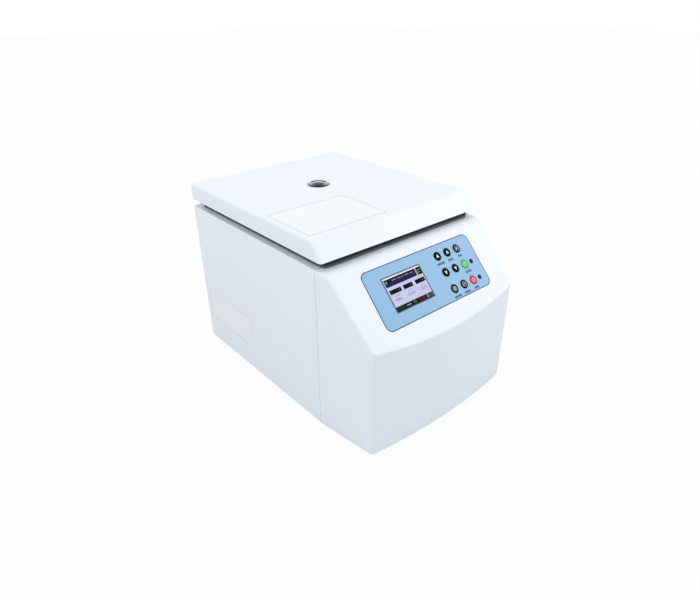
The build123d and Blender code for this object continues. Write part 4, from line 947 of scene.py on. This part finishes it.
@dataclass
class ControlPanel:
    """The bowed front housing and the membrane, keys and lamps on its slope."""

    size: Pair = (276.0, 111.0)
    middle: Pair = (0.0, 75.0)
    corner: float = 13.0
    face: float = 0.3
    ink_rise: float = 0.03
    edge_inset: float = 0.3
    edge_line: float = 1.3
    columns: Sequence[float] = (42.9, 69.8, 96.7)
    rows: Sequence[float] = (108.2, 74.6, 40.7)
    key_radius: float = 8.4
    key_crown: float = 1.2
    sign_depth: Pair = (-0.03, 0.04)
    rim_gap: float = 1.25
    rim_wire: float = 0.42
    lamp_column: float = 116.2
    lamp_radius: float = 3.85
    lamp_rim: float = 4.7
    caption_drop: float = 15.3
    caption_dash: Pair = (2.8, 4.2)
    caption_pitch: float = 3.3
    captions: Sequence[int] = (6, 4, 3, 0, 0, 5, 6, 5, 4)
    marks: Sequence[Mark] = (Mark.UP, Mark.UP, Mark.RING_PLAY, Mark.DOWN, Mark.DOWN, Mark.RING_POWER,
                             Mark.RING_SET, Mark.RING_BAR, Mark.RING_POWER)
    arrow: Outline = ((0, 1), (0.82, -0.85), (0, -0.35), (-0.82, -0.85))
    arrow_size: float = 4.3
    triangle: Outline = ((-1.4, -2.2), (2.3, 0), (-1.4, 2.2))
    ring: Pair = (4.7, 4.1)
    small_ring: Pair = (2.3, 1.3)
    open_ring: Pair = (4.2, 3.2)
    open_by: float = 38.0
    open_steps: int = 28
    stroke: float = 0.6
    bar_top: float = 4.8
    bar_reach: float = 2.2

    def place(self, key: str) -> Pair:
        """The middle of a key on the slope."""
        row, column = divmod(KEYS.index(key), 3)
        return self.columns[column], self.rows[row]

    def ink(self) -> Print:
        """Starts a print on the membrane."""
        return Print(SLOPE, self.face - SUNK, self.face + self.ink_rise)

    def build(self) -> None:
        """Dresses the housing and its controls and adds the prints."""
        dress(MOULDING, "front_housing")
        dress(MEMBRANE, "keypad_overlay")
        dress(LAMP_BODY, "status_lamps")
        dress(KEY_GREEN, "key_start")
        dress(KEY_RED, "key_stop")
        dress(KEY_BLACK, *(f"key_{key}" for key in KEYS if key not in ("start", "stop")))
        self.edge()
        self.dashes()
        self.lamp_rims()
        for key, mark in zip(KEYS, self.marks):
            self.sign(key, mark)
        rim = self.key_radius + self.rim_gap
        places = [(*self.place(key), self.face) for key in KEYS]
        repeat(Repeats.rims(), "key_embossing", SLOPE, places, MEMBRANE, "panel_blue", Width=2 * rim,
               Height=2 * rim, Corner=rim - BEND_SLACK, Wire=self.rim_wire)

    def edge(self) -> None:
        """Dark line round the membrane."""
        outer, inner = (
            rounded(*(side - 2 * inset for side in self.size), self.corner - inset, *self.middle)
            for inset in (self.edge_inset, self.edge_inset + self.edge_line))
        self.ink().band(outer, inner).piece("membrane_edge_line", EDGE_INK, "panel_blue")

    def dashes(self) -> None:
        """A row of plain dashes below each key that has a name."""
        width, height = self.caption_dash
        dashes = self.ink()
        for key, count in zip(KEYS, self.captions):
            u, v = self.place(key)
            for k in range(count):
                middle = u + (k - (count - 1) / 2) * self.caption_pitch
                low = v - self.caption_drop - height / 2
                dashes.box(middle - width / 2, middle + width / 2, low, low + height)
        dashes.piece("caption_dashes", CAPTION_INK, "panel_blue")

    def lamp_rims(self) -> None:
        """Dark print round the two lamps."""
        rims = self.ink()
        for row in self.rows[1:]:
            rims.ring(self.lamp_rim, self.lamp_radius, self.lamp_column, row)
        rims.piece("lamp_rims", LAMP_BODY, "lamp")

    def sign(self, key: str, mark: Mark) -> None:
        """The white sign on one key.

        Args:
            key: the key's name.
            mark: its sign.
        """
        u, v = self.place(key)
        sign = Print(SLOPE, *(self.key_crown + w for w in self.sign_depth))
        half = self.stroke
        if mark in (Mark.UP, Mark.DOWN):
            size = self.arrow_size if mark is Mark.UP else -self.arrow_size
            sign.patch([(u + x * size, v + y * size) for x, y in self.arrow])
        elif mark is Mark.RING_POWER:
            gap, steps = math.radians(self.open_by), self.open_steps
            turns = [math.pi / 2 + gap + (math.tau - 2 * gap) * k / steps for k in range(steps + 1)]
            outer, inner = ([(u + radius * math.cos(a), v + radius * math.sin(a)) for a in turns]
                            for radius in self.open_ring)
            sign.patch(outer + inner[::-1]).box(u - half, u + half, v + half, v + self.bar_top)
        else:
            sign.ring(*self.ring, u, v)
            if mark is Mark.RING_PLAY:
                sign.patch([(u + x, v + y) for x, y in self.triangle])
            elif mark is Mark.RING_SET:
                sign.ring(*self.small_ring, u, v)
            else:
                sign.box(u - self.bar_reach, u + self.bar_reach, v - half, v + half)
        sign.piece(f"sign_{key}", WHITE_INK, "key_black", f"button_{key}")


Row = tuple[str, Finish, int, Sequence[Box]]


@dataclass
class Readout:
    """The display's glass and the picture behind it, laid just over its face.

    A row is a piece's name, its finish, its level and its boxes, which are given by their left,
    right, low and high edges.
    """

    lift: float = 0.05
    fields: Sequence[Row] = (
        ("field", SCREEN_FIELD, 1, ((-99.6, -9.0, 45.6, 104.6),)),
        ("light_strip", SCREEN_WHITE, 1, ((-99.6, -9.0, 104.7, 107.2), (-22.4, -20.0, 90.4, 104.7))),
        ("header", SCREEN_SLATE, 2, ((-98.0, -22.6, 97.0, 104.4),)),
        ("header_foot", SCREEN_NAVY, 2, ((-98.0, -22.6, 90.6, 96.9),)),
        ("dark_fields", SCREEN_DARK, 2, (
            (-19.8, -9.0, 90.6, 104.4), (-99.6, -9.0, 45.6, 54.2), (-96.6, -69.2, 76.8, 84.6),
            (-63.9, -41.2, 76.8, 84.6), (-34.4, -10.6, 76.8, 84.6))))
    green_boxes: Sequence[Box] = (
        (-96.4, -91.2, 97.4, 101.6), (-18.4, -10.6, 98.6, 100.2), (-16.4, -13.0, 94.6, 96.2),
        (-18.4, -17.0, 92.0, 100.2))
    arrows: Sequence[float] = (-75.4, -47.2, -16.8)
    arrow: Outline = ((0, 79.6), (2.6, 80.6), (0, 81.6))
    green_bars: Sequence[Box] = ((-57.6, -56.2, 47.6, 52.2), (-53.6, -52.2, 47.6, 52.2))
    foot: Sequence[Row] = (
        ("foot_green", SCREEN_FOREST, 3, ((-97.6, -79.4, 46.6, 53.0),)),
        ("foot_red", SCREEN_MAROON, 3, ((-45.6, -29.4, 46.6, 53.0),)),
        ("header_dashes", SCREEN_GREY, 3, [
            (start, start + span, 99.4, 100.7) for start, span in
            ((-80.0, 11.0), (-66.5, 8.0), (-56.0, 4.0), (-49.5, 10.0), (-36.5, 8.0))]))
    dash: Box = (-75.8, -64.6, 49.0, 50.8)
    wheel: Pair = (-22.6, 50.0)
    wheel_ring: Pair = (2.5, 1.2)
    wheel_sides: int = 16
    teeth: int = 8
    tooth: Pair = (0.62, 2.9)
    tooth_sides: int = 4
    key: Pair = (-12.9, 50.0)
    key_outer: tuple[float, float, float] = (6.4, 4.8, 1.0)
    key_inner: tuple[float, float, float] = (5.0, 3.4, 0.5)
    readings: Sequence[tuple[str, float, float]] = (
        ("0000", -84.5, 65.2), ("00:00", -52.4, 65.6), ("0000", -20.8, 66.0))
    reading_size: float = 7.6
    unit: Box = (-6.0, 6.0, 6.4, 7.2)

    def layer(self, level: int, boxes: Iterable[Box] = ()) -> Print:
        """Starts a print at one level of the picture.

        Args:
            level: the level, from 1 at the glass.
            boxes: its first rectangles.

        Returns:
            The print.
        """
        made = Print(SLOPE, (level - 1) * self.lift, level * self.lift)
        for box in boxes:
            made.box(*box)
        return made

    @staticmethod
    def show(shapes: Print, name: str, finish: Finish) -> None:
        """Makes a print a piece of the picture."""
        shapes.piece("screen_" + name, finish, "display")

    def build(self) -> None:
        """Lays the picture's fields, marks and numbers."""
        dress(GLASS_BLACK, "display_module")
        dress(BOARD, "control_board")
        for name, finish, level, boxes in self.fields:
            self.show(self.layer(level, boxes), name, finish)
        green = self.layer(3, self.green_boxes)
        for u in self.arrows:
            green.patch([(u + x, y) for x, y in self.arrow])
        for bar in self.green_bars:
            green.box(*bar)
        self.show(green, "green_marks", SCREEN_GREEN)
        for name, finish, level, boxes in self.foot:
            self.show(self.layer(level, boxes), name, finish)
        self.grey_marks()
        faint = self.layer(2)
        left, right, low, high = self.unit
        for text, u, v in self.readings:
            faint.number(text, u, v, self.reading_size).box(u + left, u + right, v + low, v + high)
        self.show(faint, "numbers", SCREEN_FAINT)

    def grey_marks(self) -> None:
        """A dash, a toothed wheel and a small key in the foot."""
        grey = self.layer(3, [self.dash]).ring(*self.wheel_ring, *self.wheel, self.wheel_sides)
        (size, reach), (u, v) = self.tooth, self.wheel
        for k in range(self.teeth):
            a = math.tau * k / self.teeth
            middle = (u + reach * math.cos(a), v + reach * math.sin(a))
            grey.patch(circle(size, *middle, self.tooth_sides, a))
        grey.band(rounded(*self.key_outer, *self.key), rounded(*self.key_inner, *self.key))
        self.show(grey, "grey_marks", SCREEN_GREY)


@dataclass
class Lid:
    """Pressed lid skin, the plate under it and the bare label place on top."""

    label: BareLabel = BareLabel(
        "lid_label", LID_TOP, "lid", size=(178.0, 130.0), middle=(-98.0, -53.5), film=(-SUNK, 0.12),
        line=(0.10, 0.15), insets=(3.0, 5.0), bends=(2.4, 1.4))
    pin_inset: float = 3.2
    screw_x: float = 191.0
    screw_rows: tuple[float, ...] = (-148.0, -12.0, 124.0, 258.0)

    def build(self) -> None:
        """Dresses the lid and adds its label, pins and screws."""
        dress(ENAMEL, "lid_shell")
        dress(LINER, "lid_liner")
        dress(ZINC, "lid_striker")
        self.label.build()
        u, v = self.label.middle
        reach_u, reach_v = (side / 2 - self.pin_inset for side in self.label.size)
        pins = ((u - reach_u, v + reach_v), (u + reach_u, v - reach_v))
        repeat(Repeats.domes(), "lid_label_pins", LID_TOP, pins, PIN_STEEL, "zinc_steel", "lid", Radius=1.5,
               Rise=0.7)
        places = [(x, -y) for x in (-self.screw_x, self.screw_x) for y in self.screw_rows]
        repeat(Repeats.screw_heads(), "liner_screws", LINER_UNDERSIDE, places, PIN_STEEL, "zinc_steel",
               "lid", Head=3.0, Rise=1.2, Socket=1.3)


@dataclass
class SightGlass:
    """Chromed ring and domed glass over the rotor, on a thin rubber washer."""

    middle: Pair = (0.0, ROTOR_Y)
    ring_radius: float = 22.5
    ring_gap: float = 0.02
    washer_width: float = 0.9
    washer_rise: float = 0.5
    washer_sides: int = 64

    def build(self) -> None:
        """Dresses the three parts and lays the washer that shows round the ring."""
        dress(CHROME, "sight_ring", "sight_nut")
        dress(SIGHT, "sight_lens")
        washer = Print(LID_TOP, -SUNK, self.washer_rise)
        washer.ring(self.ring_radius + self.washer_width, self.ring_radius + self.ring_gap, *self.middle,
                    self.washer_sides)
        washer.piece("sight_washer", RUBBER, "rubber", "lid")


@dataclass
class Chamber:
    """Deck surround, spun bowl, seal and boot."""

    screw_places: tuple[Pair, ...] = (
        (-176, -143.5), (176, -143.5), (-176, 50), (176, 50), (-176, 256), (176, 256))
    stop_places: tuple[Pair, ...] = ((-150, -143), (150, -143), (-150, 257), (150, 257))

    def build(self) -> None:
        """Dresses the chamber and adds the tray's screws and the lid's rubber stops."""
        dress(FRAME_GREY, "deck_frame")
        dress(STAINLESS, "chamber_bowl")
        dress(RUBBER, "chamber_seal", "shaft_boot")
        repeat(Repeats.screw_heads(), "deck_screws", TRAY_FLOOR, self.screw_places, PIN_STEEL, "zinc_steel",
               Head=3.2, Rise=1.5, Socket=1.4)
        repeat(Repeats.domes(), "lid_stops", TRAY_FLOOR, self.stop_places, RUBBER, "rubber", Radius=5.0,
               Rise=4.6)


@dataclass
class Rotor:
    """Swing-out rotor with its two plate carriers."""

    carrier_x: float = 70.0
    pad_top: float = 259.0
    number_size: float = 26.0
    number_depth: Pair = (-SUNK, 0.06)
    nub_pitch: float = 14.0

    def build(self) -> None:
        """Dresses the rotor, numbers the carriers and adds their pads' nubs."""
        dress(STEEL, "motor_shaft", "trunnion_pins")
        dress(ALLOY, "rotor_yoke")
        dress(BLACK_PLASTIC, "rotor_nut")
        for number, side, x in ((1, "left", -self.carrier_x), (2, "right", self.carrier_x)):
            dress(CARRIER_ALLOY, f"carrier_{side}")
            dress(RUBBER, f"carrier_pad_{side}")
            floor, body = Sheet((x, ROTOR_Y, self.pad_top), RIGHT, REAR), f"{side}_carrier"
            digit = Print(floor, *self.number_depth).number(str(number), 0, 0, self.number_size)
            digit.piece(f"place_number_{side}", WHITE_INK, "white_enamel", body)
            nubs = [(i * self.nub_pitch, j * self.nub_pitch) for i in range(-2, 3) for j in range(-4, 5)
                    if abs(i) > 1 or abs(j) > 1]
            repeat(Repeats.domes(), f"pad_nubs_{side}", floor, nubs, RUBBER, "rubber", body, Radius=2.2,
                   Rise=0.5)


@dataclass
class Drive:
    """Motor, its dampers and the power boards."""

    def build(self) -> None:
        """Dresses the drive, the lock and the hinges."""
        dress(MOTOR_PAINT, "motor_housing")
        dress(STEEL, "motor_bearings", "lock_bolt", "hinge_pins")
        dress(ZINC, "motor_plate", "drive_bracket", "lock_solenoid", "hinge_brackets", "hinge_arms")
        dress(RUBBER, "motor_dampers")
        dress(BOARD, "drive_board")
        dress(BLACK_PLASTIC, "lock_housing")


@dataclass
class RearPanel:
    """Vents, fan, power entry and release plug."""

    vent_columns: tuple[float, ...] = (-120.0, 0.0, 120.0)
    vent_low: float = 190.0
    vent_pitch: float = 9.0
    vent_count: int = 8
    vent_size: Pair = (46.0, 3.6)
    lip_gap: float = 0.5
    lip_wire: float = 0.55

    def build(self) -> None:
        """Dresses the rear and rolls the vents' lips."""
        dress(BLACK_PLASTIC, "fan_frame", "fan_wheel", "power_inlet", "switch_frame", "power_rocker")
        dress(BRASS, "inlet_blades")
        dress(MOULDING, "release_plug")
        dress(RUBBER, "rubber_feet")
        dress(PIN_STEEL, "foot_screws")
        width, height = (side + 2 * self.lip_gap for side in self.vent_size)
        places = [(-x, self.vent_low + self.vent_pitch * k) for x in self.vent_columns
                  for k in range(self.vent_count)]
        repeat(Repeats.rims(), "vent_lips", REAR_FACE, places, ENAMEL, "white_enamel", Width=width,
               Height=height, Corner=height / 2 - BEND_SLACK, Wire=self.lip_wire)


@dataclass
class Studio:
    """Camera, lamps, pale floor and white surroundings."""

    eye: Point = (-679.589, -794.285, 727.053)
    yaw: float = 40.5780
    pitch: float = 29.0993
    roll: float = -0.4449
    film: float = 36
    focal: float = 548.272 / 700 * 36
    sky: float = 0.81
    sky_tint: Colour = (0.955, 0.985, 1.01)
    key: float = 13.5
    key_place: Vector = field(default_factory=lambda: Vector((-1.9, 0.2, 2.2)))
    fill: float = 23.5
    fill_place: Vector = field(default_factory=lambda: Vector((2.3, -1.5, 2.0)))
    lamp_size: float = 1.6
    lamp_aim: float = 0.2
    floor_radius: float = 14
    floor_colour: Colour = (0.72, 0.73, 0.74)
    floor_white: float = 0.95

    def camera(self) -> None:
        """Stands the camera where it looks at the front left corner from above."""
        yaw, pitch, roll = (math.radians(a) for a in (self.yaw, self.pitch, self.roll))
        ahead = Vector((math.sin(yaw) * math.cos(pitch), math.cos(yaw) * math.cos(pitch), -math.sin(pitch)))
        side = Vector((math.cos(yaw), -math.sin(yaw), 0))
        above = side.cross(ahead)
        right = side * math.cos(roll) + above * math.sin(roll)
        top = above * math.cos(roll) - side * math.sin(roll)
        camera = stand("camera", bpy.data.cameras.new("camera"))
        camera.data.lens, camera.data.sensor_width = self.focal, self.film
        turned = Matrix((right, top, -ahead)).transposed().to_4x4()
        camera.matrix_world = Matrix.Translation(Vector(self.eye) * MM) @ turned
        bpy.context.scene.camera = camera

    def lamp(self, name: str, place: Vector, power: float) -> None:
        """Adds a soft square lamp that faces the object.

        Args:
            name: its name.
            place: where it is, in metres.
            power: watts.
        """
        lamp = stand(name, bpy.data.lights.new(name, "AREA"))
        lamp.data.size, lamp.data.energy = self.lamp_size, power
        lamp.location = place
        lamp.rotation_mode = "QUATERNION"
        lamp.rotation_quaternion = (UP * self.lamp_aim - place).to_track_quat("-Z", "Y")

    def surroundings(self) -> None:
        """White where they are seen, by themselves or in metal and glass, and plainer as light."""
        world = bpy.data.worlds.new("surroundings")
        g = blank(world)
        path = g.add("LightPath").outputs
        mirrored = g.maths("MAXIMUM", path["Is Glossy Ray"], path["Is Transmission Ray"])
        seen = g.maths("MAXIMUM", path["Is Camera Ray"], mirrored)
        sky = (*(self.sky * part for part in self.sky_tint), 1)
        level = g.add("Mix", {0: seen, 6: sky, 7: (1, 1, 1, 1)}, data_type="RGBA")
        back = g.out("Background", {"Color": level.outputs[2], "Strength": 1.0})
        g.add("OutputWorld", {"Surface": back})
        bpy.context.scene.world = world

    def floor(self) -> None:
        """Pale floor that keeps a faint shadow."""
        bm = bmesh.new()
        bmesh.ops.create_circle(bm, cap_ends=True, segments=96, radius=self.floor_radius)
        made = from_bmesh(bm, "floor")
        finish = bpy.data.materials.new("pale_floor")
        g = blank(finish)
        paint = g.out("BsdfDiffuse", {"Color": (*self.floor_colour, 1)})
        white = g.out("Emission", {"Color": (1, 1, 1, 1), "Strength": 1.0})
        share = g.maths("MULTIPLY", g.add("LightPath").outputs["Is Camera Ray"], self.floor_white)
        both = g.out("MixShader", {0: share, 1: paint, 2: white})
        g.add("OutputMaterial", {"Surface": both})
        made.data.materials.append(finish)

    def build(self) -> None:
        """Sets up everything that isn't the object."""
        bpy.context.scene.view_settings.view_transform = "Standard"
        self.camera()
        self.surroundings()
        self.floor()
        self.lamp("key_lamp", self.key_place, self.key)
        self.lamp("fill_lamp", self.fill_place, self.fill)


def main() -> None:
    """Builds the object assembly by assembly and logs each one's name."""
    logging.basicConfig(level=logging.INFO, format="%(name)s: %(message)s")
    for assembly in (Studio(), Cabinet(), ControlPanel(), Readout(), Lid(), SightGlass(), Chamber(),
                     Rotor(), Drive(), RearPanel()):
        LOG.info("building %s", type(assembly).__name__)
        assembly.build()


if __name__ == "__main__":
    main()
